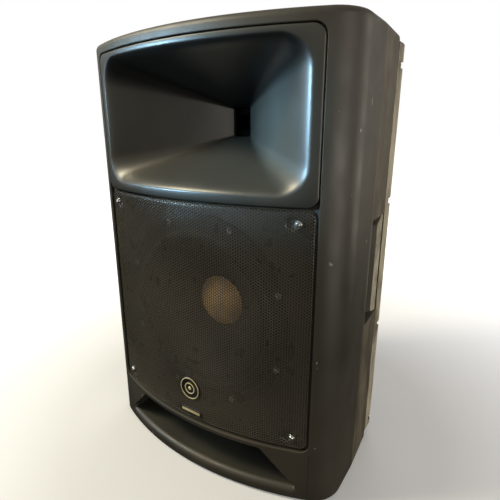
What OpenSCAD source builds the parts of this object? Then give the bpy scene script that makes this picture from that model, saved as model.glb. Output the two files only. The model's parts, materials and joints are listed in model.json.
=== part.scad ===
// Powered two-way PA speaker in a moulded cabinet.
// Millimetres. +Z is up, the bowed front faces -Y, and the origin is on the floor
// under the middle of the cabinet.

/* [Cabinet] */
// Overall width of the cabinet
cab_w = 448; // [444:1:460]
// Overall depth from the bowed front to the back
cab_d = 366; // [364:1:380]
// Height of the cabinet above its feet
cab_h = 661; // [659:1:670]
// Height of the rubber feet
foot_h = 4; // [3:0.5:6]
// Thickness of the moulded walls
wall = 5; // [4:0.5:6]
// Radius of the bowed front, seen from above
bow_r = 514; // [505:1:560]
// Radius of the two front corners, seen from above
corner_r = 50; // [45:1:52]
// Bevel along the top and bottom edges
edge = 9; // [7:1:10]

/* [Front openings] */
// Half width of the horn panel and of the grille
panel_x = 190; // [188:1:190]
// Height of the horn panel's lower edge
horn_low = 444; // [440:1:446]
// Height of the horn panel's upper edge
horn_high = 649; // [645:1:650]
// Height of the grille's lower edge
grille_low = 88; // [86:1:90]
// Half width of the port mouth along its lower edge
port_low_x = 176; // [160:1:178]
// Half width of the port mouth along its upper edge
port_high_x = 120; // [100:1:130]

/* [Drivers] */
// Height of the woofer's centre
woofer_z = 265; // [262:1:268]
// Outer radius of the woofer's frame
woofer_r = 155; // [150:1:156]
// Height of the horn's centre
horn_z = 549; // [547:1:551]
// Outer radius of the compression driver's magnet
driver_r = 58; // [50:1:62]

/* [Controls] */
// Radius of the level and tone knobs
knob_r = 9; // [7:0.5:10]
// How far a button travels
button_travel = 3; // [2:0.5:4]

/* [Hidden] */
$fn = 64;

// Colours
body_colour = [0.17, 0.16, 0.14];
trim_colour = [0.10, 0.10, 0.09];
steel_colour = [0.62, 0.63, 0.64];
black_steel = [0.08, 0.08, 0.08];
gold_colour = [0.78, 0.66, 0.38];
rubber_colour = [0.06, 0.06, 0.06];
board_colour = [0.10, 0.32, 0.18];
copper_colour = [0.55, 0.35, 0.15];
lamp_colour = [0.2, 0.5, 0.2];

// Cabinet landmarks
front_y = -cab_d/2;
back_y = cab_d/2;
bow_cy = front_y + bow_r;
base_z = foot_h;
top_z = foot_h + cab_h;
side_x = cab_w/2;
corner_x = side_x - corner_r;
corner_y = bow_cy - sqrt(pow(bow_r - corner_r, 2) - pow(corner_x, 2));
crease_y = front_y + 138;
split_y = front_y + 216;
rim_y = split_y + 29;
rim_x = side_x - 5;
back_x = 140;
taper = atan2(rim_x - back_x, back_y - rim_y);
seal_t = 1.5;
corner_step = 0.05;
slack = 1;
foot_front = [150, front_y + 62];
foot_rear = [100, back_y - 50];
stem_hole_r = 3;

// Front landmarks
seam = 1.5;
panel_y = bow_cy - sqrt(pow(bow_r, 2) - pow(panel_x, 2));
baffle_y = panel_y + 4;
baffle_t = 12;
shelf_t = 4;
port_low = 22;
port_high = 80;
duct_wall = 3;
duct_back = panel_y + 108;
panel_corner = 14;

// Horn
mouth_x = 172;
mouth_z = 87;
throat_x = 16;
throat_z = 22;
throat_y = panel_y + 115;
flare_wall = 3.5;
flare_y = panel_y - 7;
flange_t = 6;
flange_half = driver_r - 6;

// Grille and badge
grille_t = 2;
grille_drop = 2.5;
grille_screw_x = 165.5;
grille_screw_z = [109, 424];
badge_z = 146;
badge_r = 19.5;
badge_t = 2;
bar_z = [99, 109];
bar_x = 22;

// Handle cups
cup_y0 = front_y + 147;
cup_y1 = front_y + 205;
cup_z0 = 250;
cup_z1 = 412;
cup_deep = 38;
cup_shallow = 5;
cup_wall = 3;

// Shell screws
screw_x = rim_x - 5;
screw_heights = [30, 219, 431, 626];
screw_head_y = split_y + 18;
screw_hole_r = 2.4;
screw_access_r = 6.5;

// Pole socket
pole_y = -16;
pole_bore_r = 17.9;
pole_tube_r = 22;
pole_depth = 85;
pole_flange_r = 40;
pole_flange_t = 4;
pole_screw_r = 31;

// Rigging inserts
insert_x = 150;
insert_y = -20;
insert_r = 6;
insert_bore_r = 3.4;
insert_h = 16;

// Woofer, measured back from the baffle
frame_t = 5;
cutout_r = 142;
screw_ring_r = 148;
surround_in_r = 118;
cone_depth = 62;
cone_t = 1.2;
neck_r = 30;
spider_y = baffle_y + 63;
cone_y = baffle_y - frame_t;
spider_r = 68;
top_plate_y = baffle_y + 74;
magnet_r = 78;
gap_in_r = 28.9;
gap_out_r = 31.8;
lead_z = [-9, 9];

// Compression driver, measured back from the horn's flange
driver_y = throat_y + flange_t;
driver_gasket_t = 1.5;
driver_len = 46;
driver_cap_len = 20;
driver_cap_r = driver_r - 4;
driver_ring_r = driver_r + 6;
driver_lug_r = driver_r + 12;
driver_lug_t = 8;
bolt_hole_r = 3.1;

// Amplifier bay in the back
bay_x = 124;
bay_z0 = 165;
bay_z1 = 540;
bay_deep = 25;
panel_gap = 1;
ledge = 12;
ledge_y = back_y - bay_deep;
amp_seal_t = 1.5;
plate_t = 2;
plate_y = ledge_y + amp_seal_t;
face_y = plate_y + plate_t;
cover_deep = 72;
cover_t = 1.5;
board_t = 1.6;
post_r = 3;
main_board_y = plate_y - cover_deep + 10;

// Control layout on the amplifier panel
knob_z = 330;
knob_spots = [-78, -30, 18, 66];
knob_gap = 1.2;
knob_len = 14;
stem_r = 3;
bush_r = 4.5;
button_x = 96;
button_r = 4.5;
lamp_z = 292;
lamp_spots = [-78, -54, -30];
lamp_r = 2.5;
xlr_z = 246;
xlr_spots = [-90, -54, -18];
xlr_r = 11.5;
jack_spots = [22, 50];
jack_z = 246;
inlet_x = -66;
inlet_z = 198;
fuse_x = -10;
fuse_z = 198;
rocker_x = 50;
rocker_z = 198;
rocker_tilt = 9;
sink_z0 = 372;
sink_z1 = 522;
sink_x = 104;

function arc_y(x, r) = bow_cy - sqrt(pow(r, 2) - pow(x, 2));
function grille_front(x) = arc_y(x, bow_r - grille_drop);
function grille_back(x) = arc_y(x, bow_r - grille_drop - grille_t);
function band_x(y) = side_x - (side_x - rim_x)*(y - crease_y)/(split_y - crease_y);

// ---------------------------------------------------------------- helpers

// Draws its children on both sides of the cabinet
module both_sides() {
    children();
    mirror([1, 0, 0]) children();
}

// A block given by its two corners
module block(low, high) {
    translate(low) cube(high - low);
}

// A round bar along Y from y0 to y1
module bar_y(r, y0, y1, x = 0, z = 0) {
    translate([x, y0, z]) rotate([-90, 0, 0]) cylinder(r = r, h = y1 - y0);
}

// A round tube along Y
module tube_y(r_out, r_in, y0, y1, x = 0, z = 0) {
    difference() {
        bar_y(r_out, y0, y1, x, z);
        bar_y(r_in, y0 - slack, y1 + slack, x, z);
    }
}

// A round tapered bar along Y, of radius r0 at y0 and r1 at y1
module taper_y(r0, r1, y0, y1, x = 0, z = 0) {
    translate([x, y0, z]) rotate([-90, 0, 0]) cylinder(r1 = r0, r2 = r1, h = y1 - y0);
}

// Turns a drawing in X and Z into a prism along Y from y0 to y1
module prism_y(y0, y1) {
    translate([0, y1, 0]) rotate([90, 0, 0]) linear_extrude(y1 - y0) children();
}

// A rectangle with round corners
module round_rect(x0, x1, z0, z1, r) {
    translate([x0 + r, z0]) square([x1 - x0 - 2*r, z1 - z0]);
    translate([x0, z0 + r]) square([x1 - x0, z1 - z0 - 2*r]);
    for (x = [x0 + r, x1 - r])
        for (z = [z0 + r, z1 - r])
            translate([x, z]) circle(r = r);
}

// A screw along Y whose head faces +Y (turn = 1) or -Y (turn = -1)
module screw_y(shank_r, head_r, head_h, length, turn = 1) {
    drive_r = head_r*0.42;
    rotate([turn > 0 ? -90 : 90, 0, 0]) difference() {
        union() {
            translate([0, 0, -length]) cylinder(r = shank_r, h = length);
            cylinder(r = head_r, h = head_h);
        }
        translate([0, 0, head_h*0.45]) cylinder(r = drive_r, h = head_h);
    }
}

// A ring of places round an axis along Y
module ring_y(count, r, z, first = 0) {
    for (i = [0 : count - 1]) {
        turn = first + 360*i/count;
        translate([r*cos(turn), 0, z + r*sin(turn)]) children();
    }
}

// The places of the screws that hold the grille
module grille_screw_places() {
    for (x = [-grille_screw_x, grille_screw_x])
        for (z = grille_screw_z) translate([x, 0, z]) children();
}

// The places of the screws that hold the horn panel from inside
module horn_screw_places() {
    for (x = [-180, 180])
        for (z = [horn_low + 12.5, horn_high - 13.5]) translate([x, 0, z]) children();
}

// ---------------------------------------------------------------- cabinet

// Upright post with bevelled ends
module bevelled_post(r, z0, z1, bevel) {
    rotate_extrude($fn = 128)
        polygon([[0, z0], [r - bevel, z0], [r, z0 + bevel], [r, z1 - bevel], [r - bevel, z1], [0, z1]]);
}

// Takes a bevel off the top and bottom of the wall that runs from a to b, with the outside on its
// right. The cut runs on past both ends, which mitres it with its neighbours on a convex plan.
module edge_bevel(a, b, z0, z1, bevel, past) {
    run = b - a;
    span = norm(run) + 2*past;
    tall = 2*bevel;
    for (end = [[z0, 135], [z1, 45]])
        translate([a.x, a.y, end[0]]) rotate([0, 0, atan2(run.y, run.x)]) rotate([end[1], 0, 0])
            translate([-past, -tall, -bevel/sqrt(2)]) cube([span, 2*tall, tall]);
}

// Plan of the front half of the cabinet, drawn in by inset, with square front corners
module front_plan(inset, back) {
    sx = side_x - inset;
    rx = band_x(back) - inset;
    polygon([[-sx, front_y], [sx, front_y], [sx, crease_y], [rx, back], [-rx, back], [-sx, crease_y]]);
}

// What lies outside a front corner, from the radius start outwards
module corner_wedge(start) {
    reach = 2*corner_r;
    centre = [corner_x, corner_y];
    toward = [corner_x, corner_y - bow_cy]/(bow_r - corner_r);
    linear_extrude(top_z + slack)
        polygon([centre + toward*start, centre + toward*reach, centre + [reach, -reach],
            centre + [reach, 0], centre + [start, 0]]);
}

// Outer form of the front half of the cabinet, with round front corners and bevelled edges
module front_outer(back) {
    difference() {
        intersection() {
            translate([0, bow_cy, 0]) bevelled_post(bow_r, base_z, top_z, edge);
            linear_extrude(top_z) front_plan(0, back);
        }
        both_sides() {
            corner_wedge(0);
            edge_bevel([side_x, corner_y], [side_x, crease_y], base_z, top_z, edge, cab_w);
            edge_bevel([side_x, crease_y], [rim_x, split_y], base_z, top_z, edge, cab_w);
        }
    }
    both_sides() translate([corner_x, corner_y, 0])
        bevelled_post(corner_r - corner_step, base_z, top_z, edge);
}

// Inner form of the same, drawn in by inset, with plain flats across its corners
module front_inner(inset, back) {
    z0 = base_z + inset;
    z1 = top_z - inset;
    sx = side_x - inset;
    difference() {
        intersection() {
            translate([0, bow_cy, 0]) bevelled_post(bow_r - inset, z0, z1, edge);
            linear_extrude(top_z) front_plan(inset, back);
            prism_y(front_y, back)
                polygon([[-sx, z0 + edge], [edge - sx, z0], [sx - edge, z0], [sx, z0 + edge],
                    [sx, z1 - edge], [sx - edge, z1], [edge - sx, z1], [-sx, z1 - edge]]);
        }
        both_sides() corner_wedge(corner_r - inset);
    }
}

// Plan of the rear half of the cabinet behind y = front, drawn in by inset on its other sides
function rear_plan(inset, front) = let (
    rx = rim_x - inset,
    ry = rim_y - inset*tan(taper/2),
    bx = back_x - inset*tan((90 - taper)/2),
    by = back_y - inset)
    [[-rx, front], [rx, front], [rx, ry], [bx, by], [-bx, by], [-rx, ry]];

// Solid rear half of the cabinet, drawn in by inset, with bevelled top and bottom edges
module rear_block(inset, bevel, front) {
    z0 = base_z + inset;
    z1 = top_z - inset;
    rings = [[inset + bevel, z0], [inset, z0 + bevel], [inset, z1 - bevel], [inset + bevel, z1]];
    n = len(rear_plan(0, 0));
    polyhedron(
        points = [for (ring = rings) for (p = rear_plan(ring[0], front)) [p.x, p.y, ring[1]]],
        faces = concat([[for (i = [0 : n - 1]) i]], [[for (i = [n - 1 : -1 : 0]) 3*n + i]],
            [for (k = [0 : 2]) for (i = [0 : n - 1])
                [k*n + i, (k + 1)*n + i, (k + 1)*n + (i + 1)%n, k*n + (i + 1)%n]]));
}

// Outline of the port mouth, drawn out by grow
module port_outline(grow) {
    z0 = port_low - grow;
    z1 = port_high + grow;
    low_x = port_low_x + grow*1.6;
    high_x = port_high_x + grow*0.6;
    polygon([[-low_x, z0], [low_x, z0], [high_x, z1], [-high_x, z1]]);
}

module shell_bosses(y0, y1, r) {
    both_sides() for (z = screw_heights) bar_y(r, y0, y1, screw_x, z);
}

module front_shell() {
    flange = 20;
    flange_d = 6;
    back = split_y - seal_t/2;
    boss_y = split_y - 26;
    color(body_colour) difference() {
        union() {
            difference() {
                front_outer(back);
                front_inner(wall, back + slack);
            }
            intersection() {
                front_inner(wall/2, back);
                union() {
                    block([-side_x, baffle_y, grille_low - shelf_t], [side_x, baffle_y + baffle_t, top_z]);
                    block([-panel_x - wall, front_y, grille_low - shelf_t],
                        [panel_x + wall, baffle_y + slack, grille_low]);
                    difference() {
                        block([-side_x, back - flange_d, 0], [side_x, back, top_z]);
                        front_inner(flange, back + slack);
                    }
                    shell_bosses(boss_y, back, 7);
                    for (x = [-insert_x, insert_x])
                        translate([x, insert_y, top_z - wall - insert_h])
                            cylinder(r = insert_r + wall, h = insert_h + wall);
                }
            }
        }
        prism_y(front_y - slack, baffle_y) {
            round_rect(-panel_x, panel_x, grille_low, horn_low, panel_corner);
            round_rect(-panel_x, panel_x, horn_low, horn_high, panel_corner);
        }
        block([-panel_x, front_y - slack, horn_low - 20], [panel_x, baffle_y, horn_low + 20]);
        block([-170, baffle_y - slack, horn_z - 92], [170, baffle_y + baffle_t + slack, horn_z + 92]);
        bar_y(cutout_r, baffle_y - slack, baffle_y + baffle_t + slack, 0, woofer_z);
        ring_y(8, screw_ring_r, woofer_z, 22.5) bar_y(2.05, baffle_y - slack, baffle_y + baffle_t + slack);
        prism_y(front_y - slack, front_y + 60) port_outline(0);
        shell_bosses(boss_y + 4, back + slack, 2.05);
        grille_screw_places() bar_y(2.25, baffle_y - slack, baffle_y + baffle_t + slack);
        horn_screw_places() bar_y(1.8, baffle_y - slack, baffle_y + baffle_t + slack);
        both_sides() block([side_x - 12, cup_y0, cup_z0], [side_x + slack, cup_y1, cup_z1]);
        translate([0, pole_y, 0]) cylinder(r = pole_tube_r, h = base_z + wall + slack);
        translate([0, pole_y, 0]) for (a = [45 : 90 : 315])
            rotate([0, 0, a]) translate([pole_screw_r, 0, 0]) cylinder(r = 2.5, h = base_z + wall + slack);
        for (x = [-insert_x, insert_x])
            translate([x, insert_y, top_z - insert_h]) cylinder(r = insert_r, h = insert_h + slack);
        both_sides() translate(foot_front) cylinder(r = stem_hole_r, h = base_z + wall + slack);
    }
    color(body_colour) grille_screw_places()
        tube_y(6, 2.25, grille_back(grille_screw_x + 7) + 0.5, baffle_y + 1);
}

module rear_shell() {
    flange = 20;
    flange_d = 6;
    front = split_y + seal_t/2;
    open_x = bay_x - ledge;
    color(body_colour) difference() {
        union() {
            difference() {
                rear_block(0, edge, front);
                rear_block(wall, edge - wall, front - slack);
            }
            intersection() {
                rear_block(wall/2, edge - wall/2, front);
                union() {
                    difference() {
                        block([-side_x, front, 0], [side_x, front + flange_d, top_z]);
                        block([flange - rim_x, front - slack, base_z + flange],
                            [rim_x - flange, front + flange_d + slack, top_z - flange]);
                    }
                    shell_bosses(front, rim_y + 26, 10);
                    block([-bay_x - 4, ledge_y - 4, bay_z0 - 4], [bay_x + 4, back_y, bay_z1 + 4]);
                }
            }
        }
        block([-bay_x, ledge_y, bay_z0], [bay_x, back_y + slack, bay_z1]);
        block([-open_x, ledge_y - 5, bay_z0 + ledge], [open_x, back_y, bay_z1 - ledge]);
        for (spot = panel_screw_spots()) bar_y(1.55, ledge_y - 5, back_y, spot.x, spot.y);
        shell_bosses(front - slack, screw_head_y + slack, screw_hole_r);
        shell_bosses(screw_head_y, back_y, screw_access_r);
        both_sides() translate(foot_rear) cylinder(r = stem_hole_r, h = base_z + wall + slack);
    }
}

function panel_screw_spots() = [for (x = [-1, 1]) for (z = [0, 0.5, 1])
    [x*(bay_x - ledge/2), bay_z0 + ledge/2 + z*(bay_z1 - bay_z0 - ledge)]];

module shell_seal() {
    y0 = split_y - seal_t/2;
    y1 = split_y + seal_t/2;
    inset = 2;
    width = 9;
    color(rubber_colour) difference() {
        block([inset - rim_x, y0, base_z + inset + 4], [rim_x - inset, y1, top_z - inset - 4]);
        block([inset + width - rim_x, y0 - slack, base_z + inset + width],
            [rim_x - inset - width, y1 + slack, top_z - inset - width]);
        both_sides() for (z = screw_heights) bar_y(screw_hole_r, y0 - slack, y1 + slack, screw_x, z);
    }
}

module shell_screws() {
    color(steel_colour) both_sides() for (z = screw_heights)
        translate([screw_x, screw_head_y, z]) screw_y(2, 4.5, 3, 38);
}

module rubber_feet() {
    color(rubber_colour) both_sides() for (spot = [foot_front, foot_rear]) translate(spot) {
        cylinder(r1 = 12, r2 = 14, h = foot_h);
        cylinder(r = stem_hole_r - 0.05, h = base_z + wall + 1);
    }
}

module rigging_inserts() {
    color(gold_colour) for (x = [-insert_x, insert_x])
        translate([x, insert_y, top_z - insert_h]) difference() {
            cylinder(r = insert_r, h = insert_h);
            translate([0, 0, 2]) cylinder(r = insert_bore_r, h = insert_h);
        }
}

module pole_socket() {
    color(trim_colour) translate([0, pole_y, 0]) difference() {
        union() {
            translate([0, 0, base_z]) cylinder(r = pole_tube_r - 0.05, h = pole_depth + 4);
            translate([0, 0, base_z + wall]) cylinder(r = pole_flange_r, h = pole_flange_t);
        }
        translate([0, 0, base_z - slack]) cylinder(r = pole_bore_r, h = pole_depth + slack);
        for (a = [45 : 90 : 315])
            rotate([0, 0, a]) translate([pole_screw_r, 0, base_z]) cylinder(r = 2.05, h = 20);
    }
}

module pole_socket_screws() {
    color(steel_colour) translate([0, pole_y, 0]) for (a = [45 : 90 : 315])
        rotate([0, 0, a]) translate([pole_screw_r, 0, base_z]) difference() {
            union() {
                translate([0, 0, -2.4]) cylinder(r = 4, h = 2.4);
                cylinder(r = 2, h = wall + pole_flange_t + 2);
            }
            translate([0, 0, -3]) cylinder(r = 1.7, h = 1.8);
        }
}

// One handle cup on the right side: a pocket that is deepest at its front end
module handle_cup() {
    floor_x = side_x - cup_deep;
    end_x = band_x(cup_y1) - cup_shallow;
    rise_y = cup_y0 + 8;
    module pocket(grow, out) {
        translate([0, 0, cup_z0 - grow]) linear_extrude(cup_z1 - cup_z0 + 2*grow)
            polygon([[out, cup_y0 - grow], [floor_x - grow, cup_y0 - grow], [floor_x - grow, rise_y],
                [end_x - grow, cup_y1 + grow], [out, cup_y1 + grow]]);
    }
    difference() {
        intersection() {
            union() {
                pocket(cup_wall, side_x - wall);
                pocket(0, side_x);
            }
            front_inner(0.3, split_y);
            union() {
                front_inner(wall, split_y);
                block([floor_x, cup_y0, cup_z0], [side_x, cup_y1, cup_z1]);
            }
        }
        translate([0, 0, cup_z0 + cup_wall]) linear_extrude(cup_z1 - cup_z0 - 2*cup_wall)
            polygon([[side_x + slack, cup_y0 + cup_wall], [floor_x, cup_y0 + cup_wall], [floor_x, rise_y],
                [end_x, cup_y1 - cup_wall], [side_x + slack, cup_y1 - cup_wall]]);
    }
}

module handle_cup_right() {
    color(trim_colour) handle_cup();
}

module handle_cup_left() {
    color(trim_colour) mirror([1, 0, 0]) handle_cup();
}

// ---------------------------------------------------------------- front trim

// Prism with a bowed front face and a flat back face at y1
module bowed_slab(r, y1) {
    intersection() {
        translate([0, bow_cy, 0]) cylinder(r = r, h = top_z, $fn = 128);
        prism_y(front_y - slack, y1) children();
    }
}

// The space inside the horn: it opens out to the mouth in plan and in height
module flare(grow) {
    far = front_y - 20;
    back = throat_y + flange_t + slack;
    intersection() {
        translate([0, 0, horn_z - 120]) linear_extrude(240)
            polygon([[-throat_x - grow, back], [-throat_x - grow, throat_y], [-mouth_x - grow, flare_y],
                [-mouth_x - grow, far], [mouth_x + grow, far], [mouth_x + grow, flare_y],
                [throat_x + grow, throat_y], [throat_x + grow, back]]);
        translate([-side_x, 0, 0]) rotate([90, 0, 90]) linear_extrude(2*side_x)
            polygon([[back, horn_z - throat_z - grow], [throat_y, horn_z - throat_z - grow],
                [flare_y, horn_z - mouth_z - grow], [far, horn_z - mouth_z - grow],
                [far, horn_z + mouth_z + grow], [flare_y, horn_z + mouth_z + grow],
                [throat_y, horn_z + throat_z + grow], [back, horn_z + throat_z + grow]]);
    }
}

module horn_panel() {
    x = panel_x - seam;
    z0 = horn_low + seam/2;
    z1 = horn_high - seam;
    skirt = 3;
    face_t = 4;
    boss_h = 5.8;
    color(trim_colour) difference() {
        union() {
            difference() {
                bowed_slab(bow_r, baffle_y) round_rect(-x, x, z0, z1, panel_corner);
                intersection() {
                    bowed_slab(bow_r - face_t, baffle_y + slack)
                        round_rect(-x + skirt, x - skirt, z0 + skirt, z1 - skirt, panel_corner - skirt);
                    block([-x, front_y, z0], [x, baffle_y + slack, z1]);
                }
            }
            intersection() {
                flare(flare_wall);
                translate([0, bow_cy, 0]) cylinder(r = bow_r, h = top_z, $fn = 128);
                block([-side_x, front_y, horn_low], [side_x, driver_y, horn_high]);
            }
            block([-flange_half, throat_y, horn_z - flange_half],
                [flange_half, driver_y, horn_z + flange_half]);
            horn_screw_places() bar_y(4.5, baffle_y - boss_h, baffle_y);
        }
        flare(0);
        ring_y(4, driver_ring_r, horn_z, 45) bar_y(bolt_hole_r, throat_y - slack, driver_y + slack);
        horn_screw_places() bar_y(1.8, baffle_y - boss_h + 0.3, baffle_y + slack);
    }
}

module horn_screws() {
    color(steel_colour) horn_screw_places()
        translate([0, baffle_y + baffle_t, 0]) screw_y(1.75, 4, 2.5, baffle_t + 5);
}

module grille() {
    x = panel_x - seam;
    r = bow_r - grille_drop;
    color(black_steel) difference() {
        bowed_slab(r, baffle_y - 2)
            round_rect(-x, x, grille_low + seam, horn_low - seam/2, panel_corner - seam);
        translate([0, bow_cy, 0]) cylinder(r = r - grille_t, h = top_z, $fn = 128);
        grille_screw_places() bar_y(2.3, front_y, baffle_y);
    }
}

module grille_screws() {
    washer_r = 6.5;
    washer_t = 1;
    seat_y = grille_front(grille_screw_x - washer_r) - washer_t;
    color(steel_colour) grille_screw_places() {
        translate([0, seat_y, 0]) screw_y(2.2, 4.2, 2.2, baffle_y - seat_y + 9, -1);
        tube_y(washer_r, 2.2, seat_y, seat_y + washer_t);
    }
}

module badge_disc() {
    y1 = front_y + grille_drop;
    color(trim_colour) bar_y(badge_r, y1 - badge_t, y1, 0, badge_z);
}

// Two rings round a dot, standing on the disc
module badge_emblem() {
    y1 = front_y + grille_drop - badge_t;
    ring_w = 2;
    color(gold_colour) {
        for (r = [badge_r - 1, badge_r/2])
            tube_y(r, r - ring_w, front_y, y1, 0, badge_z);
        bar_y(1.5*ring_w, front_y, y1, 0, badge_z);
    }
}

module name_bar() {
    y1 = front_y + grille_drop;
    color(trim_colour) block([-bar_x, y1 - 1.5, bar_z[0]], [bar_x, y1, bar_z[1]]);
}

module port_duct() {
    color(trim_colour) difference() {
        prism_y(front_y, duct_back) port_outline(duct_wall);
        prism_y(front_y - slack, duct_back + slack) port_outline(0);
        difference() {
            block([-side_x, front_y - slack, 0], [side_x, panel_y + 40, 2*port_high]);
            translate([0, bow_cy, 0]) cylinder(r = bow_r - wall, h = 2*port_high, $fn = 128);
        }
    }
}

// ---------------------------------------------------------------- woofer

module woofer_basket() {
    neck_y = spider_y + 8;
    color(black_steel) {
        difference() {
            union() {
                tube_y(woofer_r, 130, baffle_y - frame_t, baffle_y - 1, 0, woofer_z);
                tube_y(cutout_r - 1, 132, baffle_y - 1, baffle_y + 16, 0, woofer_z);
                tube_y(spider_r + 8, spider_r - 4, spider_y + 0.5, neck_y, 0, woofer_z);
                tube_y(spider_r + 8, spider_r + 3, neck_y, top_plate_y, 0, woofer_z);
                for (a = [0 : 45 : 315]) translate([0, 0, woofer_z]) rotate([0, a + 22.5, 0])
                    basket_rib();
            }
            ring_y(8, screw_ring_r, woofer_z, 22.5) bar_y(2.5, baffle_y - 10, baffle_y);
        }
    }
}

// One spoke of the basket, from the rim down to the magnet plate
module basket_rib() {
    width = 16;
    thick = 4;
    a = [cutout_r - 3, baffle_y + 14];
    b = [spider_r + 6, spider_y + 6];
    translate([0, 0, -width/2]) linear_extrude(width)
        polygon([a, a - [thick + 2, 0], b - [thick, 0], b + [0, thick]]);
}

module woofer_gasket() {
    color(rubber_colour) difference() {
        tube_y(woofer_r, cutout_r, baffle_y - 1, baffle_y, 0, woofer_z);
        ring_y(8, screw_ring_r, woofer_z, 22.5) bar_y(2.5, baffle_y - 10, baffle_y + slack);
    }
}

// Half roll between the cone's rim and the basket
module woofer_surround() {
    roll_r = 6;
    lip_t = 0.8;
    mid_r = surround_in_r + roll_r + 1;
    color(rubber_colour) translate([0, cone_y - lip_t, woofer_z]) rotate([-90, 0, 0]) {
        rotate_extrude($fn = 96) difference() {
            translate([mid_r, 0]) circle(r = roll_r);
            translate([mid_r, 0]) circle(r = roll_r - lip_t);
            translate([mid_r - 10, 0]) square([20, 10]);
        }
        rotate_extrude($fn = 96) {
            translate([surround_in_r - 4, 0]) square([5.8, lip_t]);
            translate([mid_r + roll_r - lip_t, 0]) square([8.8, lip_t]);
        }
    }
}

// Straight-sided paper cone
module woofer_cone() {
    y0 = cone_y;
    y1 = y0 + cone_depth;
    color(trim_colour) translate([0, 0, woofer_z]) rotate([-90, 0, 0])
        rotate_extrude($fn = 96)
            polygon([[surround_in_r + 1, y0], [surround_in_r + 1, y0 + cone_t],
                [surround_in_r - 6, y0 + cone_t], [neck_r + 1.4, y1], [neck_r + 0.1, y1], [neck_r + 0.1, y1 - cone_t],
                [surround_in_r - 6, y0]]);
}

module woofer_dust_cap() {
    cap_r = 42;
    dome_r = 68;
    sag = dome_r - sqrt(pow(dome_r, 2) - pow(cap_r, 2));
    fold_r = surround_in_r - 6;
    y_rim = cone_y + (fold_r - cap_r)*(cone_depth - cone_t)/(fold_r - neck_r) - 0.2;
    color(rubber_colour) intersection() {
        translate([0, y_rim - sag + dome_r, woofer_z]) difference() {
            sphere(r = dome_r, $fn = 96);
            sphere(r = dome_r - 1, $fn = 96);
        }
        bar_y(cap_r, y_rim - 30, y_rim, 0, woofer_z);
    }
}

// Corrugated ring that centres the voice coil
module woofer_spider() {
    pitch = (spider_r - neck_r - 6)/4;
    color(gold_colour) translate([0, spider_y, woofer_z]) rotate([-90, 0, 0]) rotate_extrude($fn = 96) {
        translate([neck_r + 1.8, 0]) square([3, 1]);
        for (i = [0 : 3])
            translate([neck_r + 4 + i*pitch, i % 2 == 0 ? 0 : -0.5]) square([pitch + 1, 1]);
    }
}

module voice_coil() {
    y0 = cone_y + cone_depth - 3;
    color(gold_colour) tube_y(neck_r, neck_r - 0.5, y0, top_plate_y + 14, 0, woofer_z);
    color(gold_colour) tube_y(neck_r + 1.7, neck_r, spider_y - 1.5, spider_y + 3, 0, woofer_z);
    color(gold_colour) tube_y(neck_r + 0.9, neck_r, top_plate_y - 3, top_plate_y + 11, 0, woofer_z);
}

module woofer_top_plate() {
    color(steel_colour) tube_y(magnet_r - 2, gap_out_r, top_plate_y, top_plate_y + 8, 0, woofer_z);
}

module woofer_magnet() {
    color(black_steel) tube_y(magnet_r, 38, top_plate_y + 8, top_plate_y + 30, 0, woofer_z);
}

// Back plate with the pole piece that stands inside the voice coil
module woofer_back_plate() {
    y0 = top_plate_y + 30;
    color(steel_colour) difference() {
        union() {
            bar_y(magnet_r - 2, y0, y0 + 9, 0, woofer_z);
            bar_y(gap_in_r, top_plate_y - 1, y0, 0, woofer_z);
        }
        bar_y(9, top_plate_y - 2, y0 + 10, 0, woofer_z);
    }
}

module woofer_screws() {
    color(steel_colour) ring_y(8, screw_ring_r, woofer_z, 22.5)
        translate([0, baffle_y - frame_t, 0]) screw_y(2, 4.4, 2.4, frame_t + baffle_t + 2, -1);
}

module woofer_terminals() {
    x = spider_r + 8;
    color(trim_colour) block([x, spider_y + 1, woofer_z - 15], [x + 8, spider_y + 9, woofer_z + 15]);
    color(gold_colour) for (z = lead_z)
        block([x + 8, spider_y + 4, woofer_z + z - 3], [x + 16, spider_y + 5, woofer_z + z + 3]);
}

// ---------------------------------------------------------------- compression driver

module driver_magnet() {
    y0 = driver_y + driver_gasket_t;
    color(black_steel) difference() {
        union() {
            bar_y(driver_r, y0 + driver_lug_t, y0 + driver_len, 0, horn_z);
            bar_y(driver_lug_r, y0, y0 + driver_lug_t, 0, horn_z);
        }
        taper_y(12.5, 18, y0 - slack, y0 + driver_len + slack, 0, horn_z);
        bar_y(26, y0 + driver_len - 10, y0 + driver_len + slack, 0, horn_z);
        ring_y(4, driver_ring_r, horn_z, 45) bar_y(bolt_hole_r, y0 - slack, y0 + driver_lug_t + slack);
    }
}

module driver_diaphragm() {
    y0 = driver_y + driver_gasket_t + driver_len + 3;
    color(steel_colour) {
        intersection() {
            translate([0, y0 - 22, horn_z]) difference() {
                sphere(r = 30, $fn = 64);
                sphere(r = 29.5, $fn = 64);
            }
            bar_y(22, y0 - 10, y0 + 10, 0, horn_z);
        }
        tube_y(22.6, 22, y0 - 6, y0 - 1.2, 0, horn_z);
    }
}

module driver_rear_cap() {
    y0 = driver_y + driver_gasket_t + driver_len;
    color(trim_colour) difference() {
        bar_y(driver_cap_r, y0, y0 + driver_cap_len, 0, horn_z);
        bar_y(driver_cap_r - 4, y0 - slack, y0 + driver_cap_len - 4, 0, horn_z);
    }
}

module driver_gasket() {
    y1 = driver_y + driver_gasket_t;
    color(rubber_colour) difference() {
        block([-flange_half, driver_y, horn_z - flange_half], [flange_half, y1, horn_z + flange_half]);
        block([-throat_x, driver_y - slack, horn_z - throat_z], [throat_x, y1 + slack, horn_z + throat_z]);
        ring_y(4, driver_ring_r, horn_z, 45) bar_y(bolt_hole_r, driver_y - slack, y1 + slack);
    }
}

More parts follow.
